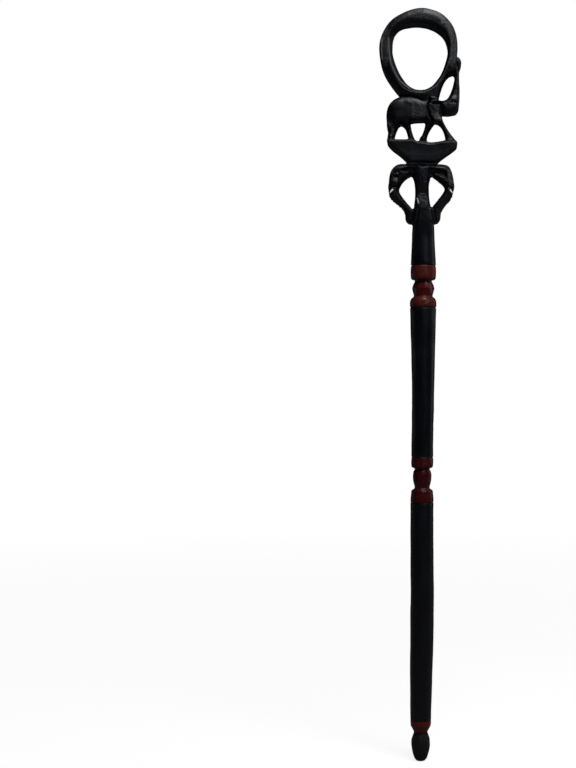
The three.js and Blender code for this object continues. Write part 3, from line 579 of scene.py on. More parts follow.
# Outlines of the carving's forms, seen from the front: across and up, and a third value marks a corner
outlines = {
    "ring": [(-28.8, 805, 1), (-34.6, 812.4), (-40.8, 820.5), (-46.4, 829), (-51, 839), (-53.6, 849),
             (-54.9, 859), (-54.8, 867), (-52.6, 877), (-48.2, 886.5), (-42, 895), (-35.4, 900.6),
             (-26, 905.8), (-15, 909.9), (-4, 911.8), (8, 909.8), (18.5, 905.8), (26.5, 899.6), (32.8, 892),
             (37, 883), (39.2, 873.5), (39.7, 863), (39.3, 852), (38.6, 843), (37, 836.6), (34.4, 833.6, 1),
             (31.2, 832.6), (27.4, 829.6), (23.4, 823.4), (19.9, 813.6), (17.8, 805.5), (16.9, 797, 1),
             (-4, 797, 1), (-18, 801)],
    "opening": [(-10.6, 892.3), (-20, 891.4), (-28.9, 888.8), (-35, 883.4), (-38.2, 876.2), (-39.1, 866),
                (-38.6, 857), (-36.2, 847.2), (-32, 837), (-26.9, 828), (-17.2, 817), (-5.2, 812.9),
                (6.3, 815.8), (16.4, 826.1), (21.5, 835), (24.8, 844), (27.4, 855), (27.8, 864),
                (25.8, 872.5), (21.6, 879.5), (15.5, 885), (8, 889), (-1, 891.6)],
    "flanks": [(-28.4, 804.3, 1), (-34.6, 801.9), (-39.4, 798.2), (-43.2, 793), (-45.3, 787), (-45.8, 780),
               (-45.4, 773), (-44.8, 766.5), (-43.4, 762.2, 1), (-44.2, 757), (-44.6, 749, 1), (39, 749, 1),
               (37.6, 752.5), (33.6, 757.6), (29, 764), (25, 770.8), (22.4, 776.5), (21.2, 782), (20.6, 790),
               (19, 797), (17, 801.5, 1), (8, 802.6), (0, 801), (-8, 803.2), (-18, 804.8)],
    "rearGap": [(-27.8, 771.4), (-24.9, 770), (-22.6, 767), (-20.6, 761.5), (-19.5, 754.6), (-20.4, 751.9, 1),
                (-34.8, 752.2, 1), (-35.8, 755), (-34.6, 761.5), (-32.4, 767), (-30.3, 770.2)],
    "middleGap": [(-16.5, 774.4, 1), (-8, 775.6), (0.4, 776, 1), (1.1, 773.6), (0.7, 768.5), (-0.7, 763),
                  (-3, 757.5), (-5, 755), (-6.6, 751.2), (-8.4, 750.4), (-10.2, 751), (-12, 754.5),
                  (-14.2, 760.5), (-15.8, 767)],
    "frontGap": [(14.6, 773.9), (18, 772.4), (21.6, 768.4), (24.2, 762.6), (25.6, 756.4), (25.8, 752.6, 1),
                 (20, 750.6), (12, 749.2), (5, 749.6), (3.3, 751.4, 1), (3.5, 757), (5.4, 763), (8.6, 768.6),
                 (11.6, 772.4)],
    "face": [(5, 802.8, 1), (12, 803), (17, 801.6, 1), (18.8, 800.2), (22.4, 800.1), (26.6, 801.4),
             (29.8, 805.6), (33, 813), (35, 820.5), (36.2, 826.4), (36.2, 831), (34.4, 833.5, 1), (34.8, 839),
             (36, 846), (38.4, 851.4), (40.1, 853), (42.2, 851.6), (44, 848), (44.4, 844.8), (43.2, 840.4),
             (42.2, 836), (42, 826), (42.6, 814), (42.6, 804), (42.1, 796), (41.4, 790.4), (39.6, 787.4, 1),
             (38.6, 786.2), (35.4, 785), (31, 784.2), (21, 783.2, 1), (13, 784), (7, 788)],
    "plinth": [(-44.2, 752.8, 1), (-44.9, 750.4), (-43.2, 747), (-38, 741.8), (-30, 735.6), (-23.4, 729.8),
               (-20.4, 726.3, 1), (-21.2, 724.6), (-20.6, 722, 1), (15.4, 722, 1), (15.6, 725.4, 1),
               (20, 729.8), (27.5, 735.6), (35, 741), (39.4, 745), (40.3, 748), (38.4, 751.4, 1), (26, 750.8),
               (13, 748.8), (4, 749), (-2, 749.6), (-8, 750.2), (-12, 752), (-26, 752.1), (-42, 752.3, 1)],
    "heads": [(-31.5, 722.3), (-35.6, 720), (-38.9, 716.2), (-41, 711.4), (-42.1, 705.5), (-42.6, 700),
              (-43.3, 695.4), (-43.1, 693, 1), (-42.3, 692), (-42.7, 689.6), (-42, 687.6), (-42, 685.6),
              (-40.7, 684.1), (-40, 682.2), (-38.3, 681.1), (-37.2, 679.4), (-35.1, 678.3), (-33.4, 676.5),
              (-31.4, 675.5), (-29.9, 673.6), (-27.7, 672.3), (-26.2, 670.1), (-24.4, 667.9), (-23.2, 664.8),
              (-22.4, 661.6), (-22.3, 658), (-21, 654.6), (-18.4, 652.1), (-15.6, 651.7), (-14, 650.6, 1),
              (12.4, 650.6, 1), (14.4, 652.2), (16.8, 652.9), (18.8, 655.4), (20.4, 658.8), (20.5, 661.8),
              (21, 664.6), (21.3, 666.8), (22.5, 668.4), (23.4, 670.6), (24.7, 672.2), (25.8, 674.3),
              (27.3, 675.6), (28.4, 677.4), (30, 678.4), (31.2, 680.2), (32.7, 681.8), (33.2, 683.9),
              (34.3, 685.5), (34.9, 687.9), (35.9, 690.2), (35.5, 692.4), (36.6, 693.4, 1), (37, 696.6),
              (36.4, 701), (35.6, 706), (34.4, 711.6), (32.4, 716.8), (29.2, 721), (25, 722.5),
              (16, 723.2, 1), (-1, 723.6, 1), (-20, 723.4, 1)],
    "leftGap": [(-14.7, 709.2), (-12.8, 706.5), (-11.3, 700), (-10.6, 691), (-10.7, 682), (-11.6, 674.6),
                (-13.2, 669.2), (-17, 672.4), (-22, 678), (-26.6, 684), (-29.4, 689), (-30, 692.6),
                (-28.8, 697.6), (-25, 703.4), (-20.5, 707.6), (-17.4, 709.2)],
    "rightGap": [(9, 709.6), (7.3, 705.6), (6.2, 699), (5.9, 690), (6.4, 681), (7.6, 674.6), (9.2, 671.4),
                 (12, 673.8), (16.4, 679.1), (21, 685), (24.3, 690.4), (25.2, 694.6), (23.6, 698.6),
                 (18.6, 703.2), (13, 707.6)],
    "column": [(-8.4, 724, 1), (-8.9, 708), (-9.7, 694), (-10.4, 682), (-11.2, 668), (-12.8, 656),
               (-13.9, 645), (-14.6, 628), (-15.2, 612), (-15.4, 601.7, 1), (15.3, 601.7, 1), (14.9, 612),
               (14.2, 628), (13.2, 645), (12, 656), (9.4, 668), (6.9, 680), (6, 694), (5.6, 708),
               (5.2, 724, 1)],
}
headTenon = {"radius": 5.8, "bottom": 575.3, "top": 606, "steps": 48}
carving = {
    "voxel": 0.56, "plate": 8, "curveSteps": 5, "triangles": 190000,
    "samePoint": 0.001, "gridStep": 0.4, "left": -60, "right": 50, "bottom": 596, "top": 916, "margin": 400,
}


# A form's outline and its gaps as smooth closed curves, made a plate of the carving's depth
def curveOf(names):
    curve = bpy.data.curves.new(names[0], "CURVE")
    curve.dimensions = "2D"
    curve.fill_mode = "BOTH"
    curve.extrude = carving["plate"] * mm
    curve.resolution_u = carving["curveSteps"]
    for name in names:
        spline = curve.splines.new("BEZIER")
        spline.bezier_points.add(len(outlines[name]) - 1)
        for point, (x, z, *corner) in zip(spline.bezier_points, outlines[name]):
            point.handle_left_type = point.handle_right_type = "VECTOR" if corner else "AUTO"
            point.co = (x * mm, z * mm, 0)
        spline.use_cyclic_u = True
    return curve


# Points along a curve's outline, in millimetres
def outlineOf(curve, index):
    points = list(curve.splines[index].bezier_points)
    line = []
    for first, second in zip(points, points[1:] + points[:1]):
        run = geometry.interpolate_bezier(first.co, first.handle_right, second.handle_left, second.co,
                                          carving["curveSteps"] + 1)
        line += [(spot.x / mm, spot.y / mm) for spot in run[:-1]]
    return line


def meshOf(thing):
    bpy.context.scene.collection.objects.link(thing)
    shown = thing.evaluated_get(bpy.context.evaluated_depsgraph_get())
    mesh = bpy.data.meshes.new_from_object(shown)
    bpy.data.objects.remove(thing)
    return mesh


# The blank: every form's plate and the tenon below the neck, joined and remeshed evenly
plates = [["ring", "opening"], ["flanks", "rearGap", "middleGap", "frontGap"], ["face"], ["plinth"],
          ["heads", "leftGap", "rightGap"], ["column"]]
lines = {}
blank = bmesh.new()
for names in plates:
    curve = curveOf(names)
    for index, name in enumerate(names):
        lines[name] = outlineOf(curve, index)
    blank.from_mesh(meshOf(bpy.data.objects.new(names[0], curve)))
bmesh.ops.rotate(blank, verts=blank.verts, cent=(0, 0, 0), matrix=Matrix.Rotation(math.pi / 2, 3, "X"))
tenonHeight = headTenon["top"] - headTenon["bottom"]
bmesh.ops.create_cone(blank, cap_ends=True, segments=headTenon["steps"], radius1=headTenon["radius"] * mm,
                      radius2=headTenon["radius"] * mm, depth=tenonHeight * mm,
                      matrix=Matrix.Translation((0, 0, (headTenon["bottom"] + tenonHeight / 2) * mm)))
bmesh.ops.remove_doubles(blank, verts=blank.verts, dist=carving["samePoint"] * mm)
bmesh.ops.recalc_face_normals(blank, faces=blank.faces)
print("outlines cut")


def remeshed(mesh, size):
    thing = bpy.data.objects.new("blank", mesh)
    remesh = thing.modifiers.new("remesh", "REMESH")
    remesh.mode = "VOXEL"
    remesh.voxel_size = size * mm
    return meshOf(thing)


head = remeshed(finished(blank, "blank"), carving["voxel"])
print("blank of", len(head.vertices), "points")

# The carving's depth, as a map over the front: half the wood's depth at each spot
acrossSteps = np.arange(carving["left"], carving["right"], carving["gridStep"])
upSteps = np.arange(carving["bottom"], carving["top"], carving["gridStep"])
across, up = np.meshgrid(acrossSteps, upSteps, indexing="ij")
farAway = 1e9


# Squared distance of spots to one straight run of a line
def offRun(x, z, start, end):
    (ax, az), (bx, bz) = start, end
    lengthSquared = (bx - ax) ** 2 + (bz - az) ** 2
    along = np.clip(((x - ax) * (bx - ax) + (z - az) * (bz - az)) / lengthSquared, 0, 1)
    return (x - ax - along * (bx - ax)) ** 2 + (z - az - along * (bz - az)) ** 2


# Part of the map round a line, with each spot's distance to it, positive inside a closed one
def around(line, margin, closed=True):
    points = np.array(line, float)
    low = points.min(axis=0) - margin
    high = points.max(axis=0) + margin
    part = (slice(*np.searchsorted(acrossSteps, (low[0], high[0]))),
            slice(*np.searchsorted(upSteps, (low[1], high[1]))))
    x, z = across[part], up[part]
    nearest = np.full(x.shape, farAway)
    inside = np.zeros(x.shape, bool)
    ends = np.roll(points, -1, axis=0) if closed else points[1:]
    for (ax, az), (bx, bz) in zip(points, ends):
        if ax == bx and az == bz:
            continue
        nearest = np.minimum(nearest, offRun(x, z, (ax, az), (bx, bz)))
        if closed and az != bz:
            inside ^= ((az > z) != (bz > z)) & (x < (bx - ax) * (z - az) / (bz - az) + ax)
    distance = np.sqrt(nearest)
    return part, (np.where(inside, distance, -distance) if closed else distance)


def smoothStep(value, low, high):
    share = np.clip((value - low) / (high - low), 0, 1)
    return share * share * (3 - 2 * share)


def softMin(first, second, blend):
    share = np.clip((first - second) / blend * 0.5 + 0.5, 0, 1)
    return first * (1 - share) + second * share - blend * share * (1 - share) * 0.5


# Rounded rise from an edge: a quarter of an ellipse
def roundRise(distance, width, rise):
    share = 1 - np.clip(distance / width, 0, 1)
    return rise * np.sqrt(1 - share * share)


# Values between the spots of a grid, s of the way to the next column and t to the next row
def between(values, column, row, s, t):
    low = values[column, row] * (1 - s) + values[column + 1, row] * s
    high = values[column, row + 1] * (1 - s) + values[column + 1, row + 1] * s
    return low * (1 - t) + high * t


# Slow uneven waves over the map, from seeded random numbers
def waves(sizeAcross, sizeUp, seed):
    random = np.random.default_rng(seed)
    columns = int((carving["right"] - carving["left"]) / sizeAcross) + 3
    rows = int((carving["top"] - carving["bottom"]) / sizeUp) + 3
    values = random.uniform(-1, 1, (columns, rows))
    x = (across - carving["left"]) / sizeAcross
    z = (up - carving["bottom"]) / sizeUp
    column, row = x.astype(int), z.astype(int)
    return between(values, column, row, smoothStep(x - column, 0, 1), smoothStep(z - row, 0, 1))


distances = {name: around(line, carving["margin"])[1] for name, line in lines.items()}
print("distances measured")

# Each form's depth: full in its middle, less at its edge, and how it falls between
forms = {
    "ring": {"full": 16.0, "fullBlend": 1.5, "edge": 10.4, "steep": 2.2, "shoulder": 13.0, "fall": 0.4,
             "blend": 1.2, "bevelFall": 1.5, "rollEdge": 7.5, "rollWidth": 6.5, "rollLevels": (870, 886),
             "openingBlend": 0.4},
    "bevel": {"middle": (-6, 853), "angles": [-180, -150, -120, -90, -60, -20, 20, 60, 90, 130, 180],
              "widths": [4.6, 6.8, 7.4, 4.6, 4.0, 3.0, 3.4, 5.0, 5.5, 4.6, 4.6]},
    "flanks": {"edge": 9.4, "rise": 8.0, "width": 9.5, "bellyWidth": 4.5},
    "legs": {"full": 13.2, "edge": 9.6, "fall": 0.95, "levels": (769, 779)},
    "face": {"edge": 8.6, "rise": 5.6, "width": 6.5},
    "trunk": {"full": 12.0, "edge": 8.4, "fall": 1.0, "blend": 1, "levels": (800, 808)},
    "plinth": {"full": 17.0, "edge": 14.4, "fall": 1.1, "blend": 0.8},
    "heads": {"full": 14.6, "edge": 9.8, "fall": 1.05, "blend": 1.2},
    "gaps": {"edge": 10.6, "fall": 1.1, "blend": 0.8},
    "column": {"full": 15.6, "edge": 9.6, "fall": 1.0, "blend": 1.2},
    "meeting": {"least": 4.0, "overlap": 0.4, "fall": 5.0},
}


def sloped(size, distance):
    return size["edge"] + size["fall"] * distance


def chamfered(size, distance):
    return softMin(np.full(up.shape, size["full"]), sloped(size, distance), size["blend"])


# One form up to a level and another above it
def passing(lower, upper, levels):
    share = smoothStep(up, *levels)
    return lower * (1 - share) + upper * share


# Flat ring with a shoulder, bevelled round its opening and rolled over at the top
def ringDepth():
    size, bevel = forms["ring"], forms["bevel"]
    outer, inner = distances["ring"], -distances["opening"]
    rise, shoulder = size["edge"] + size["steep"] * outer, size["shoulder"] + size["fall"] * outer
    ring = softMin(rise, shoulder, size["blend"])
    ring = softMin(ring, np.full(up.shape, size["full"]), size["fullBlend"])
    x, z = bevel["middle"]
    width = np.interp(np.degrees(np.arctan2(up - z, across - x)), bevel["angles"], bevel["widths"])
    bevelled = size["full"] - size["bevelFall"] * (width - inner)
    rolled = size["rollEdge"] + roundRise(inner, size["rollWidth"], size["full"] - size["rollEdge"])
    return softMin(ring, passing(bevelled, rolled, size["rollLevels"]), size["openingBlend"])


def flanksDepth():
    size, legSize = forms["flanks"], forms["legs"]
    gaps = np.minimum(np.minimum(-distances["rearGap"], -distances["middleGap"]), -distances["frontGap"])
    body = size["edge"] + roundRise(distances["flanks"], size["width"], size["rise"])
    body = np.minimum(body, size["edge"] + roundRise(gaps, size["bellyWidth"], size["rise"]))
    legs = np.minimum(legSize["full"], sloped(legSize, np.minimum(distances["flanks"], gaps)))
    return passing(legs, body, legSize["levels"])


def faceDepth():
    size, trunk = forms["face"], forms["trunk"]
    skull = size["edge"] + roundRise(distances["face"], size["width"], size["rise"])
    return passing(skull, chamfered(trunk, distances["face"]), trunk["levels"])


def headsDepth():
    gaps = np.minimum(-distances["leftGap"], -distances["rightGap"])
    sides = chamfered(forms["heads"], distances["heads"])
    return softMin(sides, sloped(forms["gaps"], gaps), forms["gaps"]["blend"])


def blockedOut():
    meeting = forms["meeting"]
    depth = np.full(up.shape, meeting["least"])
    for name, form in (("ring", ringDepth()), ("flanks", flanksDepth()), ("face", faceDepth()),
                       ("plinth", chamfered(forms["plinth"], distances["plinth"])), ("heads", headsDepth()),
                       ("column", chamfered(forms["column"], distances["column"]))):
        outside = np.maximum(0, -meeting["overlap"] - distances[name])
        depth = np.maximum(depth, form - meeting["fall"] * outside)
    return depth


depthMap = blockedOut()
print("carving blocked out")

# How sharply the cuts start: from outside their outline to inside it
cutStart = {"hollow": -0.15, "facet": -0.3, "stopCut": (-0.2, 0.5)}


# Cuts and swellings on the map. Lines and outlines hold points across and up
def groove(line, width, depth, roundness=0.5):
    part, distance = around(line, width, False)
    share = np.clip(1 - distance / (width / 2), 0, 1)
    depthMap[part] -= depth * (share * (1 - roundness) + smoothStep(share, 0, 1) * roundness)


def mound(x, z, acrossSize, upSize, height, turn=0):
    angle = math.radians(turn)
    dx = (across - x) * math.cos(angle) + (up - z) * math.sin(angle)
    dz = (up - z) * math.cos(angle) - (across - x) * math.sin(angle)
    share = np.clip(1 - (dx / acrossSize) ** 2 - (dz / upSize) ** 2, 0, 1)
    depthMap[:] += height * share * share * (3 - 2 * share)


def hollow(polygon, depth, soft):
    part, distance = around(polygon, 1)
    depthMap[part] -= depth * smoothStep(distance, cutStart["hollow"], soft)


# A flat knife cut: the map is brought down to a plane inside an outline
def facet(polygon, level, slopeAcross, slopeUp, soft=0.7):
    part, distance = around(polygon, 1)
    x, z = np.mean(polygon, axis=0)
    plane = level + slopeAcross * (across[part] - x) + slopeUp * (up[part] - z)
    over = np.maximum(0, depthMap[part] - plane)
    depthMap[part] -= over * smoothStep(distance, cutStart["facet"], soft)


# A stop cut: the wood on one side of a line falls towards it
def stopCut(line, depth, width, side):
    part, distance = around(line, width, False)
    x, z = across[part], up[part]
    nearest = np.full(x.shape, farAway)
    facing = np.zeros(x.shape)
    for (ax, az), (bx, bz) in zip(line, line[1:]):
        near = offRun(x, z, (ax, az), (bx, bz))
        turn = (bx - ax) * (z - az) - (bz - az) * (x - ax)
        facing = np.where(near < nearest, turn, facing)
        nearest = np.minimum(nearest, near)
    share = np.clip(1 - distance / width, 0, 1) * smoothStep(facing * side, *cutStart["stopCut"])
    depthMap[part] -= depth * share


# Several grooves of one width and depth
def grooves(lines, width, depth):
    for line in lines:
        groove(line, width, depth)


def carveElephant():
    # ear, with the deep cut behind it and the head falling away in front
    groove([(6.6, 801.5), (6.1, 797.5), (4.9, 794.4), (4.7, 790.5), (5.5, 786), (7.3, 780), (9.8, 775.6),
            (13.4, 772)], 4.4, 6.2, 0.2)
    stopCut([(9.5, 794.6), (16.2, 793.4), (19, 787.6), (22.4, 781)], 3.8, 7, 1)
    facet([(8.4, 793.5), (21.2, 776.2), (23.2, 780.5), (19.4, 787.6), (16.4, 794)], 15.2, -0.34, -0.1, 0.3)
    facet([(6.6, 793), (8.6, 784), (13, 775), (20, 771.5), (21.2, 776.2), (8.4, 793.5)], 15.4, 0.2, 0.06, 0.3)
    hollow([(8.6, 795.2), (11, 797.8), (15, 798.9), (20, 798.8), (27, 798.3), (22.6, 796.2), (19, 794.8),
            (15, 793.6), (11, 793.9)], 3.2, 1.2)
    groove([(21, 799.9), (28, 799.8), (35.4, 799.6)], 1.1, 1.0)
    # eye, cheek, jaw and lip
    hollow([(30.4, 797), (32.2, 799.4), (35, 800), (37.4, 799.2), (39, 796.4), (36.8, 795.8), (34.5, 796.2),
            (32.6, 795.8)], 1.7, 1.0)
    mound(34.7, 797.9, 1.5, 1.6, 1.2)
    mound(32, 789.6, 12, 8, 0.6)
    facet([(20, 788), (30, 787.4), (40.8, 788.4), (41, 781), (20, 781)], 11.8, 0.02, 0.8, 0.3)
    groove([(31.4, 782.6), (33.2, 785)], 1.1, 0.8)
    groove([(35.6, 783), (37.4, 785.2), (39.8, 786)], 1.2, 0.9)
    groove([(37.6, 783.4), (38.6, 785.4)], 0.9, 0.7)
    # raised trunk
    groove([(32.6, 814.2), (36, 813.4), (42.8, 813.2)], 1.6, 1.0)
    stopCut([(43, 813.2), (32.4, 814)], 0.8, 6, 1)
    grooves([[(34.6, level), (37.6, level + 0.5)] for level in (827.5, 824, 820.6, 817.8)], 0.9, 0.35)
    facet([(41, 799), (43.6, 799), (43.4, 834), (41.4, 833)], 9.6, -0.9, 0)
    groove([(39.6, 854.5), (39.1, 849), (38.7, 844.5), (40.2, 838), (41.8, 832)], 1.7, 1.8)
    mound(42, 846.5, 3.4, 6.5, 1.6)
    # shoulder: rougher, a little lower, with slanting wrinkles
    stopCut([(-14, 797), (-13.8, 786), (-13.4, 776)], 0.6, 9, 1)
    grooves([[(-14, 787.4), (-9, 785.8), (-3.4, 784.6)], [(-14, 784.2), (-8, 781.8), (-2, 781)]], 1.5, 0.3)
    groove([(-14, 781), (-9.4, 778.2), (-1, 777.4)], 1.5, 0.35)
    grooves([[(-6.4, 797.4), (-3.6, 791.6)], [(-4.6, 795), (-1, 787)], [(-3, 787), (1.2, 781)]], 1.2, 0.2)
    groove([(-12.4, 796.6), (-11.4, 789)], 1.3, 0.2)
    # rump, thigh and tail
    mound(-35, 794, 12, 9, 0.8)
    mound(-39.5, 777.4, 4.6, 8.5, -3.0, 14)
    mound(-26, 784, 15, 12, 0.6)
    groove([(-42.6, 784), (-42.4, 775), (-41.2, 768), (-42.6, 762.6)], 1.8, 1.3)
    facet([(-43.6, 773.6), (-38.6, 774.4), (-37.6, 768), (-41, 763.6)], 12.2, 0.3, -0.05)
    facet([(-41.6, 764), (-36, 768), (-35.6, 756), (-44, 757)], 12.4, -0.12, 0.02)
    facet([(27, 764), (32, 760), (37.5, 753), (27, 753)], 12.3, 0.05, 0.1)
    facet([(-19.6, 765), (-14.6, 765), (-12.6, 753), (-19.4, 753)], 12.6, -0.2, 0)
    # groove between the loop's foot and the back
    groove([(-30.4, 804.8), (-24, 804.9), (-16, 804.4), (-8, 802.6), (-2.2, 799.8)], 2.6, 4.0, 0.2)
    groove([(3.6, 803.4), (10, 803.8), (18.4, 803.2)], 1.6, 1.2)
    stopCut([(-2, 799.8), (-8, 802.6), (-16, 804.4), (-30.4, 804.8)], 1.2, 5, -1)


def carveRing():
    # foot of the loop, and the dark plane that falls away along its lower left
    facet([(6, 812), (20.6, 824), (24, 820), (18.6, 803), (5, 803)], 14.2, -0.1, 0.06)
    facet([(-50.6, 842), (-46, 836), (-37.5, 822), (-30.5, 808), (-30, 803), (-54, 832)], 12.6,
          0.5, 0.42, 0.8)
    groove([(36.6, 874), (36.2, 862), (36.4, 850), (37.6, 843)], 1.4, 0.5)
    groove([(-3.1, 911), (-3.2, 904), (-2.9, 896)], 1.0, 0.9)
    groove([(20, 893.6), (24, 894.6), (28.6, 895.2)], 0.9, 0.7)
    mound(30.6, 894.4, 0.9, 0.9, -0.6)
    groove([(29, 836.8), (32.6, 836.4)], 0.9, 0.4)
    grooves([[(-47.4, 872), (-46.8, 858)], [(-44.6, 870), (-44, 856)], [(-50.6, 874), (-51.6, 860)],
             [(-49, 850.6), (-44.6, 850.2)], [(-49, 846.8), (-45.6, 846.2)], [(-48, 843), (-45, 842)],
             [(-47, 840), (-44.6, 839)], [(30.6, 860), (35, 861)], [(31, 856.6), (33.8, 852.6)],
             [(32, 851), (34, 855.6)]], 1.0, 0.3)


def carvePlinth():
    facet([(-46, 728), (42, 728), (42, 720), (-46, 720)], 15.6, 0, 0.5, 1.5)
    facet([(16, 726), (40.5, 744.6), (42, 748), (42, 722)], 15.2, -0.3, 0.36, 1.2)
    mound(-2, 742, 36, 11, -0.5)
    groove([(-8.6, 750.6), (-5, 748.6), (-1, 748)], 1.5, 1.1)
    groove([(-2, 750), (3, 747.2), (8, 746.4), (14, 747.2)], 1.6, 1.3)
    groove([(0, 749), (6, 748.2), (11, 748.6)], 1.3, 0.9)
    groove([(-4, 749.6), (-3.4, 746.6)], 1.0, 0.6)
    groove([(-22, 724.4), (-10, 724.6), (0, 724.8), (8, 724.4), (16, 724.6)], 2.0, 3.4)


# Ribs across the outer edge of the hanging trunks: where each starts, and how far it runs in and up
ribs = {
    "width": 1.4, "depth": 0.6, "outward": 0.6, "share": 0.6,
    "left": [(-41.2, 690.8, 5, 0.6), (-40.4, 686.4, 5, 1.2), (-38, 682.8, 4.6, 2.4), (-35, 680, 4, 3),
             (-31.4, 677.2, 3.6, 3.4), (-28, 674.4, 3.6, 3.6), (-24.8, 670, 4.2, 2.4), (-22, 663, 4.6, 0.8)],
    "right": [(34.2, 690.8, 5, 0.6), (33.2, 686.2, 5, 1.2), (31.4, 682.4, 4.4, 2.4), (28.6, 679, 4, 3),
              (25.6, 676.2, 3.6, 3.4), (23, 673, 3.6, 3), (21.2, 669.2, 4.2, 2), (20.2, 663.6, 4.6, 0.6)],
}


def carveHeads():
    # left head: brow, side plane, arch behind the ear, eye, cheek facet and mouth
    facet([(-38, 720.4), (-34, 725.5), (-23, 725.5), (-22.4, 722.2), (-27, 719.4), (-34, 717)],
          12.4, 0.1, -0.45)
    facet([(-38, 721), (-38, 697), (-44, 697), (-44, 716)], 11.2, 0.75, 0.02)
    hollow([(-29, 715.6), (-25, 718.4), (-19, 719.8), (-13, 719.6), (-9.8, 718), (-9.3, 710), (-10.6, 706),
            (-14.6, 707), (-17, 708.6), (-20.4, 711.4), (-24, 712.8), (-27.4, 713.4)], 4.6, 2.2)
    mound(-22, 709.6, 5.4, 5, 0.5)
    grooves([[(-24, 713), (-25.4, 709.6)], [(-21.6, 712), (-22, 708.4)], [(-26.2, 709), (-27.4, 703.4)]],
            1.1, 0.3)
    hollow([(-37.2, 710), (-33.6, 714.4), (-31.4, 714.2), (-28.4, 711.6), (-33, 710.2)], 0.8, 1.5)
    mound(-33, 711.8, 1.7, 1.7, 0.4)
    facet([(-37.8, 709), (-30.8, 708.8), (-30.8, 703.4), (-34.4, 703.2)], 12.6, 0.02, -0.42)
    groove([(-43.4, 696.6), (-40, 695.8), (-36, 694.8), (-29.2, 695.2)], 2.6, 3.2)
    mound(-36.6, 700, 6, 4.4, 0.8)
    # right head
    facet([(27, 724.5), (29.4, 716), (30.6, 706), (31, 697), (37.5, 697), (36.5, 712), (31, 724)],
          11.4, -0.7, 0.04)
    hollow([(4.2, 718.6), (14, 718.2), (22, 716), (27.2, 714.6), (28.6, 708), (27.4, 704.8), (23.2, 706.4),
            (13.5, 709.5), (6.2, 708.5), (5, 712)], 3.8, 2.4)
    mound(25.4, 707, 1.5, 1.5, 1.2)
    grooves([[(31.6, 703.6), (34.6, 702.8)], [(31.4, 702.4), (34.8, 701.4)], [(31.6, 701), (34.6, 700)],
             [(32.2, 699.8), (34, 699)]], 0.9, 0.45)
    groove([(24, 696.2), (28, 695), (32, 694.2), (36.4, 694)], 2.4, 2.8)
    mound(30, 700, 5, 4.6, 0.7)
    # hanging trunks: a bevelled inner strip, ribs across the outer edge, and the cut beside the column
    facet([(-30.6, 692), (-27, 681.6), (-20, 675.4), (-13, 669), (-12, 672), (-28, 694)], 11.6, 0.3, 0.42)
    facet([(24.6, 696), (22.6, 688), (17, 679.6), (9.6, 669.4), (8.6, 673), (24.6, 694)], 11.6, -0.3, 0.42)
    for side, trunkRibs in ((1, ribs["left"]), (-1, ribs["right"])):
        for x, z, inward, rise in trunkRibs:
            start = (x - side * ribs["outward"], z)
            end = (x + side * inward * ribs["share"], z + rise * ribs["share"])
            groove([start, end], ribs["width"], ribs["depth"])
    groove([(-13, 671), (-12.8, 665), (-14, 657), (-15.2, 651)], 2.4, 2.6)
    groove([(10.2, 674), (11.2, 666), (12.6, 657), (13.6, 651)], 2.2, 2.4)
    facet([(-22, 674), (-14, 669), (-14.4, 652), (-23, 655)], 13.0, 0.12, 0.02)
    facet([(20.6, 672), (12.2, 670), (14.4, 652), (21, 656)], 13.0, -0.12, 0.02)


def carveColumn():
    facet([(-12, 722), (-5, 724), (-4.6, 690), (-7.6, 684), (-12, 680)], 13.2, 0.42, 0)
    facet([(8, 722), (4, 724), (4.4, 690), (5.4, 684), (8, 680)], 13.4, -0.5, 0)
    groove([(-1.2, 725), (-2.1, 716), (-2.8, 706), (-3.3, 696.5)], 2.4, 0.8)
    facet([(-12, 670), (9, 670), (7, 686.5), (-11, 686.5)], 14.5, 0.02, -0.12, 1.6)
    facet([(-11, 686), (7, 686), (6.4, 704), (-10, 704)], 14.1, 0.02, 0.08, 0.8)
    groove([(-8.8, 686), (-4.6, 685), (-1, 685.8), (5.4, 686.2)], 1.8, 0.4)
    groove([(0.6, 707.6), (3.6, 707.2)], 0.9, 0.4)
    groove([(1, 701.6), (4.8, 700.8)], 0.9, 0.4)
    facet([(5.4, 676), (8, 664), (10, 652), (17, 648), (12, 676)], 13.0, -0.5, 0)
    facet([(-8, 676), (-9.6, 660), (-11, 646), (-17, 646), (-13, 676)], 13.2, 0.55, 0)


carveElephant()
carveRing()
carvePlinth()
carveHeads()
carveColumn()
print("carving cut")
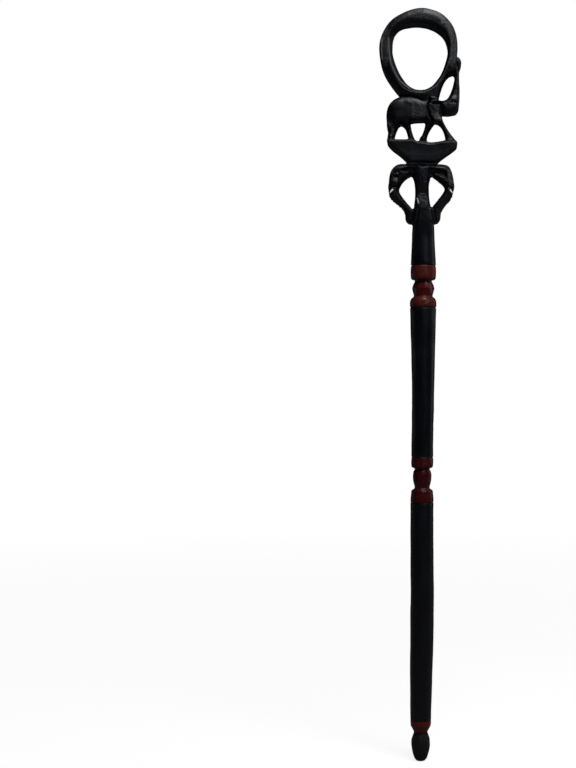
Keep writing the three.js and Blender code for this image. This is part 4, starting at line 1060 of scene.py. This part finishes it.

# Where the carving is pale, from rubbed wear and from painted highlights where light catches ridges, edges,
# the rump and the heads' side planes: how wide, how pale, and the line that is pale
wearAndHighlightMap = np.zeros(up.shape)
wornAndLitLines = [
    # loop: limbs and nicks
    (1.6, 0.5, [(30, 845), (30.8, 853), (30.6, 862)]),
    (3.4, 0.3, [(-42, 894.5), (-46.6, 886), (-49.6, 877), (-51, 868), (-51, 858)]),
    (1.2, 0.4, [(-52.4, 872), (-53, 860), (-52, 848)]), (1.0, 0.35, [(-45.4, 870), (-45, 852)]),
    (0.9, 0.6, [(-49.6, 849), (-44, 848.4)]), (0.9, 0.5, [(-49, 845.6), (-45.4, 845)]),
    (0.9, 0.5, [(-48, 842.6), (-45, 841.6)]), (1.2, 0.9, [(-22, 819.6), (-20.8, 819)]),
    (1.0, 0.9, [(-6.2, 812.2), (-5.8, 811.4)]), (1.0, 0.8, [(-3.2, 812.4), (-2.8, 811.4)]),
    (0.9, 0.6, [(-9.6, 810), (-9.2, 806)]), (4.0, 0.3, [(37.4, 884), (38.2, 870), (37.6, 856), (37, 846)]),
    (1.0, 0.5, [(36.6, 853), (37, 844), (40, 838), (41.4, 831)]), (1.0, 0.55, [(20, 894), (28.6, 894.6)]),
    (0.9, 0.5, [(27, 836.6), (33, 836.4)]), (1.0, 0.5, [(26, 832), (20, 822), (14, 815)]),
    # elephant: rim of the back, rump with painted highlights, shoulder, ear, face, trunk and legs
    (0.9, 0.25, [(-29.6, 804), (-24, 804), (-16, 803.4), (-8, 801.6), (-2, 798.8)]),
    # Pale strokes on the rump are painted highlights where the top light catches it
    (5.0, 0.06, [(-40, 796), (-30, 798.4), (-15, 797)]), (3.4, 0.35, [(-39.5, 795), (-34.6, 797.6)]),
    (2.6, 0.6, [(-18, 797.6), (-15.4, 797)]), (1.4, 0.3, [(-14, 796), (-13.8, 777)]),
    (1.1, 0.15, [(-14, 788.4), (-9, 786.9), (-4.4, 785.8)]),
    (1.1, 0.2, [(-14, 785.4), (-8, 783.2), (-3, 782.2)]),
    (1.1, 0.2, [(-13.6, 782.4), (-9, 779.8), (-2, 778.8)]),
    (1.4, 0.25, [(-12.4, 778.4), (-6, 777.6), (0, 778.6)]), (3.4, 0.4, [(16, 777.6), (19, 777)]),
    (1.0, 0.5, [(7, 794), (9.4, 787), (11.4, 782), (15, 777)]), (2.0, 0.5, [(17.4, 779), (20, 777.6)]),
    (1.0, 0.2, [(17.6, 793.4), (19.8, 788), (22.6, 781.6)]),
    (0.9, 0.2, [(19.6, 793), (23, 788), (25, 786.6)]),
    (0.8, 0.3, [(8, 799.6), (14, 800), (21, 800.2), (28, 800.2), (35, 799.9)]),
    (2.0, 0.3, [(6, 802), (16, 801.4)]), (0.8, 0.4, [(34.4, 798.2), (35, 798)]),
    (1.0, 0.3, [(31, 783.8), (36, 785.4), (40, 786.4)]),
    (0.9, 0.4, [(32.8, 815), (37, 814.6), (42.4, 814.2)]), (1.4, 0.2, [(41.6, 800), (42, 813)]),
    (1.0, 0.5, [(38.6, 833.4), (41, 832.8)]), (0.9, 0.4, [(38, 828), (40.4, 827.4)]),
    (1.4, 0.4, [(42.8, 848.6), (40.4, 852)]), (1.0, 0.35, [(30, 806.4), (33, 813.4), (34.6, 821)]),
    (3.0, 0.3, [(-42.6, 773), (-40, 768)]), (1.0, 0.45, [(-40, 768), (-37.4, 763), (-36.4, 757)]),
    (1.4, 0.4, [(-43, 757), (-40, 759)]), (1.0, 0.45, [(28, 759.4), (33, 757)]),
    (1.0, 0.4, [(29.4, 756.4), (34.6, 754.4)]), (0.9, 0.4, [(22.8, 778), (27, 768), (31, 762)]),
    (1.0, 0.35, [(-17, 764), (-16, 755)]), (1.0, 0.35, [(1.6, 766), (2.6, 758)]),
    # boat
    (0.9, 0.25, [(-43.6, 751.6), (-34, 751.8), (-26, 751.6), (-13, 751.2)]),
    (0.9, 0.35, [(-9, 750.2), (-4, 748.4), (0, 748.6)]),
    (0.9, 0.35, [(-2, 749.6), (3, 747.4), (8, 746.8), (13.6, 747.6)]),
    (0.9, 0.3, [(1, 749.2), (6, 748.4), (12, 748.6)]), (0.9, 0.3, [(13, 748), (26, 749.8), (37, 750.6)]),
    (3.0, 0.2, [(30, 754), (36, 750), (39, 746)]), (2.2, 0.1, [(-13, 730), (-4, 728.8), (4, 730.4)]),
    (3.0, 0.25, [(38.8, 746), (28, 738), (18, 729.6)]), (1.6, 0.35, [(-44, 750), (-40, 745.4)]),
    # outward heads
    (1.2, 0.45, [(-35, 719), (-31, 721.4), (-22, 722.4), (-4, 722.6)]), (1.4, 0.8, [(2, 722.6), (6, 721.4)]),
    (1.0, 0.55, [(6, 722.4), (16, 722), (26, 720.6)]), (1.2, 0.5, [(-37.4, 719), (-38.2, 709), (-38.6, 701)]),
    (3.6, 0.3, [(-34, 717.8), (-29, 719.4), (-22, 720.8), (-17, 721.2)]),
    (4.4, 0.22, [(-35.6, 704.8), (-31.8, 704.6)]), (1.8, 0.35, [(-35.4, 702), (-33, 701.4)]),
    (1.0, 0.25, [(-37.6, 708.6), (-30.6, 708.4)]), (0.9, 0.3, [(-26, 708), (-28.4, 701)]),
    (2.4, 0.22, [(-23, 709), (-16, 705.6)]), (0.7, 0.5, [(-33.2, 712.4), (-32.8, 712)]),
    (0.9, 0.35, [(-38, 697.6), (-33, 696.6)]), (1.2, 0.6, [(27.4, 721.6), (29, 714), (29.6, 705)]),
    (3.4, 0.65, [(31.4, 716), (32.6, 703)]), (2.4, 0.8, [(31.8, 702.4), (34.4, 701)]),
    (1.6, 0.4, [(5.6, 721.6), (12, 720.4), (20, 718.6), (27, 716.8)]),
    (0.9, 0.3, [(24.6, 703.6), (28, 703.2)]), (1.6, 0.25, [(-28, 689), (-23, 683), (-17, 677)]),
    # column and neck
    (0.9, 0.15, [(-3.2, 716), (-4, 700)]), (0.9, 0.3, [(-0.6, 722), (-1.2, 715)]),
    (0.9, 0.3, [(-2, 708), (1.6, 707.6)]), (1.0, 0.25, [(0.8, 702.2), (5.2, 701.2)]),
    (4.0, 0.3, [(0, 680), (4, 681), (3, 675)]), (2.6, 0.4, [(-7, 680), (-3, 681)]),
    (0.9, 0.3, [(-10.6, 700), (-10.4, 684)]), (0.9, 0.3, [(6.6, 712), (6.4, 690)]),
]
# Evenly pale edges, rubbed and painted as highlights: the ridge round the opening, the loop's limbs, ear,
# heads, splinter and column
evenWornAndLitLines = [
    (1.5, 0.8, [(-43.6, 874), (-42.9, 862), (-41.8, 851), (-40.2, 843), (-37, 836)]),
    (1.6, 0.75, [(-38, 838), (-33, 828), (-29, 822.5), (-22, 817), (-18, 814.2)]),
    (1.3, 0.5, [(-18, 814.2), (-15, 812.5), (-9, 810), (-5, 809.2), (0, 810), (8, 812.5), (15, 818),
                (20, 825)]),
    (1.1, 0.35, [(20, 825), (25, 834), (28.5, 843), (30, 850)]),
    (1.4, 0.3, [(31, 848), (32, 856), (32, 864)]), (1.4, 1.0, [(-51.2, 873), (-51.9, 862), (-51, 848)]),
    (1.2, 0.75, [(7, 795.6), (10.6, 790), (14, 784.5), (18, 780.4), (20.4, 776.8)]),
    (1.2, 0.5, [(-37.2, 717), (-38, 711)]), (1.5, 2.2, [(-8.0, 681.4), (-6.2, 675)]),
    (1.2, 0.16, [(5.8, 674), (6.8, 669.6), (10.7, 649.4), (11.6, 640)]),
    (1.0, 0.1, [(-7.4, 669), (-10.4, 649.4), (-11.4, 640)]),
]


# Pale patches, rubbed and painted as highlights: middle, size and how pale
wornAndLitPatches = [
    (3, 902.5, 27, 8, 0.55), (2, 906, 6, 3, 0.6), (9, 904.6, 6, 3, 0.6), (-18, 902.5, 6, 4, 0.4),
    (24, 893.5, 8, 7, 0.5), (30, 889, 9, 9, 0.2), (-47, 868, 8, 22, 0.2), (-47.5, 846, 5, 9, 0.3),
    (35, 862, 5, 24, 0.15), (-38, 762, 4, 8, 0.26), (-22, 683, 8, 9, 0.08), (5, 748, 12, 3, 0.15),
    (-1.5, 679, 8.5, 7, 0.45), (39, 826, 4, 10, 0.12), (-2, 715, 7, 8, 0.1),
]
# Evenly pale faces, rubbed and painted as lit: how pale, and the outline
wornAndLitFaces = [
    (0.11, [(-14, 797.5), (2, 797), (1, 777), (-13.6, 776.5)]),
    (0.12, [(6.2, 795.7), (7.9, 796.1), (11.4, 789.2), (19.5, 779.6), (20.1, 774), (14.5, 775), (11, 780.1)]),
    (0.30, [(12, 783), (16.4, 783.4), (19.5, 779.6), (20.1, 774), (14.5, 775), (12.4, 778)]),
    (0.07, [(-50, 882), (-44, 886), (-41, 872), (-42, 852), (-46, 841), (-51.4, 850), (-52.4, 866)]),
    (0.13, [(27, 888), (33, 884), (37, 874), (38, 862), (37, 848), (33, 838), (31.5, 846), (32.5, 860),
            (31, 874)]),
    # Painted light on the right head's up-facing side plane
    (0.07, [(29.4, 716), (33, 715), (35.4, 704), (36.2, 698), (31.6, 698), (30.4, 706)]),
]


# How the pale lines and faces, rubbed wear and painted highlights, fade at their sides, and how flecks break
# them up
wearAndHighlightFade = {
    "outside": 0.25, "inside": 0.5, "faceEdge": 0.4, "fine": (1.6, 1.2, 51), "coarse": (2.6, 3.4, 52),
    "coarseMiddle": 0.6, "coarseSwing": 0.4, "least": 0.12, "flecks": 1.1, "chips": 0.4, "chipsFrom": 0.7,
    "evenLeast": 0.7, "faceSwing": 0.6, "lineSwing": 0.5,
}


def wornAndLitShare(distance, width):
    return smoothStep(-distance, -width / 2 - wearAndHighlightFade["outside"], -width / 2 + wearAndHighlightFade["inside"])


# Paints rubbed wear and painted highlights into one pale map
def paintWearAndHighlights():
    for width, amount, line in wornAndLitLines:
        part, distance = around(line, width, False)
        wearAndHighlightMap[part] = np.maximum(wearAndHighlightMap[part], amount * wornAndLitShare(distance, width))
    for x, z, wide, high, amount in wornAndLitPatches:
        share = 1 - np.clip(((across - x) / wide) ** 2 + ((up - z) / high) ** 2, 0, 1)
        wearAndHighlightMap[:] += amount * share * np.sqrt(share)
    fine = 0.5 + 0.5 * waves(*wearAndHighlightFade["fine"])
    coarse = wearAndHighlightFade["coarseMiddle"] + wearAndHighlightFade["coarseSwing"] * waves(*wearAndHighlightFade["coarse"])
    chips = wearAndHighlightFade["chips"] * (fine > wearAndHighlightFade["chipsFrom"])
    wearAndHighlightMap[:] *= wearAndHighlightFade["least"] + wearAndHighlightFade["flecks"] * fine * fine * coarse + chips
    for amount, outline in wornAndLitFaces:
        part, distance = around(outline, 2)
        face = amount * smoothStep(distance, -wearAndHighlightFade["faceEdge"], wearAndHighlightFade["faceEdge"])
        wearAndHighlightMap[part] += face * (wearAndHighlightFade["evenLeast"] + wearAndHighlightFade["faceSwing"] * coarse[part])
    for width, amount, line in evenWornAndLitLines:
        part, distance = around(line, width, False)
        edge = amount * wornAndLitShare(distance, width) * (wearAndHighlightFade["evenLeast"] + wearAndHighlightFade["lineSwing"] * coarse[part])
        wearAndHighlightMap[part] = np.maximum(wearAndHighlightMap[part], edge)


paintWearAndHighlights()
print("rubbed places marked")


# Flat knife cuts all over: small tilted planes, each with its own lean
def knifeCuts(wide, high, lean, seed):
    random = np.random.default_rng(seed)
    columns = int((carving["right"] - carving["left"]) / wide) + 4
    rows = int((carving["top"] - carving["bottom"]) / high) + 4
    shift = random.uniform(0, 1, (columns, rows, 2))
    leans = random.uniform(-lean, lean, (columns, rows, 2))
    x = (across - carving["left"]) / wide + 1
    z = (up - carving["bottom"]) / high + 1
    column, row = x.astype(int), z.astype(int)
    nearest = np.full(up.shape, farAway)
    change = np.zeros(up.shape)
    for i, j in ((i, j) for i in (-1, 0, 1) for j in (-1, 0, 1)):
        cell = shift[column + i, row + j]
        dx, dz = x - column - i - cell[..., 0], z - row - j - cell[..., 1]
        distance = dx * dx + dz * dz
        tilt = leans[column + i, row + j]
        change = np.where(distance < nearest, tilt[..., 0] * dx * wide + tilt[..., 1] * dz * high, change)
        nearest = np.minimum(nearest, distance)
    return change


# How roughly each part is cut: smooth flank, boat and loop, rough shoulder, legs and trunks
roughPlaces = [
    (-39, 762, 7, 10, 0.8), (30, 758, 10, 8, 0.4), (-29, 683, 14, 14, 0.4), (24, 682, 14, 14, 0.4),
    (24, 790, 9, 8, 0.4), (-1, 679, 12, 8, 0.8), (-24, 785, 26, 20, -0.4), (0, 738, 50, 18, -0.5),
]
handCut = {
    "rough": 0.42, "slow": (13, 16), "slowDepth": 0.14, "broad": (4.4, 7, 0.06), "narrow": (1.9, 3, 0.09),
    "frontSeed": 11, "backSeed": 21, "leastDepth": 2,
}


def roughness():
    share = np.full(up.shape, handCut["rough"])
    for x, z, wide, high, amount in roughPlaces:
        share += amount * np.clip(1 - ((across - x) / wide) ** 2 - ((up - z) / high) ** 2, 0, 1)
    return np.maximum(share, 0)


# The depth map of one face with its own waves and knife cuts
def cutFace(rough, seed):
    slow = waves(*handCut["slow"], seed) * handCut["slowDepth"]
    knife = knifeCuts(*handCut["broad"], seed + 1) + knifeCuts(*handCut["narrow"], seed + 2)
    return depthMap + (slow + knife * rough)


def sampled(values, x, z):
    lastColumn, lastRow = np.array(values.shape) - 1.001      # just inside the last cell
    column = np.clip((x - carving["left"]) / carving["gridStep"], 0, lastColumn)
    row = np.clip((z - carving["bottom"]) / carving["gridStep"], 0, lastRow)
    i, j = column.astype(int), row.astype(int)
    return between(values, i, j, column - i, row - j)


def pointsOf(mesh):
    flat = np.empty(len(mesh.vertices) * 3, np.float32)
    mesh.vertices.foreach_get("co", flat)
    return flat.reshape(-1, 3).astype(float) / mm


def normalsOf(mesh):
    flat = np.empty(len(mesh.vertices) * 3, np.float32)
    mesh.vertex_normals.foreach_get("vector", flat)
    return flat.reshape(-1, 3)


def setPoints(mesh, points):
    mesh.vertices.foreach_set("co", (points * mm).astype(np.float32).ravel())
    mesh.update()


# Moves the blank's points: depth from the map, and a round section down the neck
neck = {
    "levels": [601.6, 621, 640, 650, 662], "radii": [15.3, 14.4, 13.7, 13.2, 12.6],
    "middles": [0, -0.2, -0.4, -0.6, -0.7], "roundFrom": 656, "roundBy": 632, "flats": 8, "flatShare": 0.25,
    "flatsEnd": 606, "tenonBelow": 0.15,
}


def carve(mesh):
    points = pointsOf(mesh)
    x, y, z = points.T
    rough = roughness()
    front = sampled(cutFace(rough, handCut["frontSeed"]), x, z)
    back = sampled(cutFace(rough, handCut["backSeed"]), x, z)
    depth = np.maximum(np.where(y < 0, front, back), handCut["leastDepth"])
    share = np.clip(y / carving["plate"], -1, 1)
    radius = np.interp(z, neck["levels"], neck["radii"])
    middle = np.interp(z, neck["levels"], neck["middles"])
    sideways = np.clip((x - middle) / radius, -1, 1)
    roundX = radius * sideways * np.sqrt(1 - share ** 2 / 2)
    roundY = radius * share * np.sqrt(1 - sideways ** 2 / 2)
    dip = flatDip(np.arctan2(roundY, roundX), neck["flats"], math.pi / neck["flats"])
    keep = 1 - neck["flatShare"] * smoothStep(z, neck["flatsEnd"], neck["roundFrom"]) * dip
    blend = 1 - smoothStep(z, neck["roundBy"], neck["roundFrom"])
    newX = x * (1 - blend) + (middle + roundX * keep) * blend
    newY = share * depth * (1 - blend) + roundY * keep * blend
    tenon = z < neck["levels"][0] - neck["tenonBelow"]
    setPoints(mesh, np.column_stack((np.where(tenon, x, newX), np.where(tenon, y, newY), z)))


carve(head)
print("carving moved to its depth")

# The wood's own unevenness, and the wear with painted highlights: pale on edges that stand out, where the
# hand rubs, and where light is painted on
woodSurface = {
    "uneven": ((9, 0.14), (2.2, 0.04)), "evenBelow": 604, "edgeWear": 0.25, "edgeBend": (0.16, 0.5),
    "speckleSize": 3.5, "speckle": (-0.2, 0.5), "facing": (0.1, 0.4), "mostWear": 2,
}


def thinned(mesh, triangles):
    thing = bpy.data.objects.new("dense", mesh)
    decimate = thing.modifiers.new("thin", "DECIMATE")
    decimate.ratio = min(1, triangles / trianglesOf(mesh))
    decimate.use_collapse_triangulate = True
    return meshOf(thing)


def roughen(mesh):
    points = pointsOf(mesh)
    uneven = np.zeros(len(points))
    for size, height in woodSurface["uneven"]:
        uneven += [noise.noise(Vector(spot) / size) * height for spot in points]
    uneven[points[:, 2] < woodSurface["evenBelow"]] = 0
    setPoints(mesh, points + normalsOf(mesh) * uneven[:, None])


# Sets the wear attribute: edge wear, and the pale map of rubbed wear and painted highlights
def addWearAndHighlights(mesh):
    points, normals = pointsOf(mesh), normalsOf(mesh)
    ends = np.empty(len(mesh.edges) * 2, np.int32)
    mesh.edges.foreach_get("vertices", ends)
    a, b = ends.reshape(-1, 2).T
    span = points[b] - points[a]
    length = np.linalg.norm(span, axis=1) + 1e-6
    bend = np.zeros(len(points))
    count = np.zeros(len(points))
    for start, sign in ((a, 1), (b, -1)):
        bend += np.bincount(start, (span * sign * normals[start]).sum(axis=1) / length ** 2, len(points))
        count += np.bincount(start, minlength=len(points))
    standing = -bend / np.maximum(count, 1)
    x, y, z = points.T
    speckled = np.array([noise.noise(Vector(spot) / woodSurface["speckleSize"]) for spot in points])
    wear = woodSurface["edgeWear"] * smoothStep(standing, *woodSurface["edgeBend"])
    wear *= smoothStep(speckled, *woodSurface["speckle"])
    facing = smoothStep(np.abs(normals[:, 1]), *woodSurface["facing"])
    wear = np.maximum(wear, sampled(wearAndHighlightMap, x, z) * facing)
    setWearAndHighlight(mesh, np.clip(wear, 0, woodSurface["mostWear"]).astype(np.float32))


head = thinned(head, carving["triangles"])
roughen(head)
addWearAndHighlights(head)
addPiece("carvedHead", head, blackMaterial, "head_section", "carved_head")
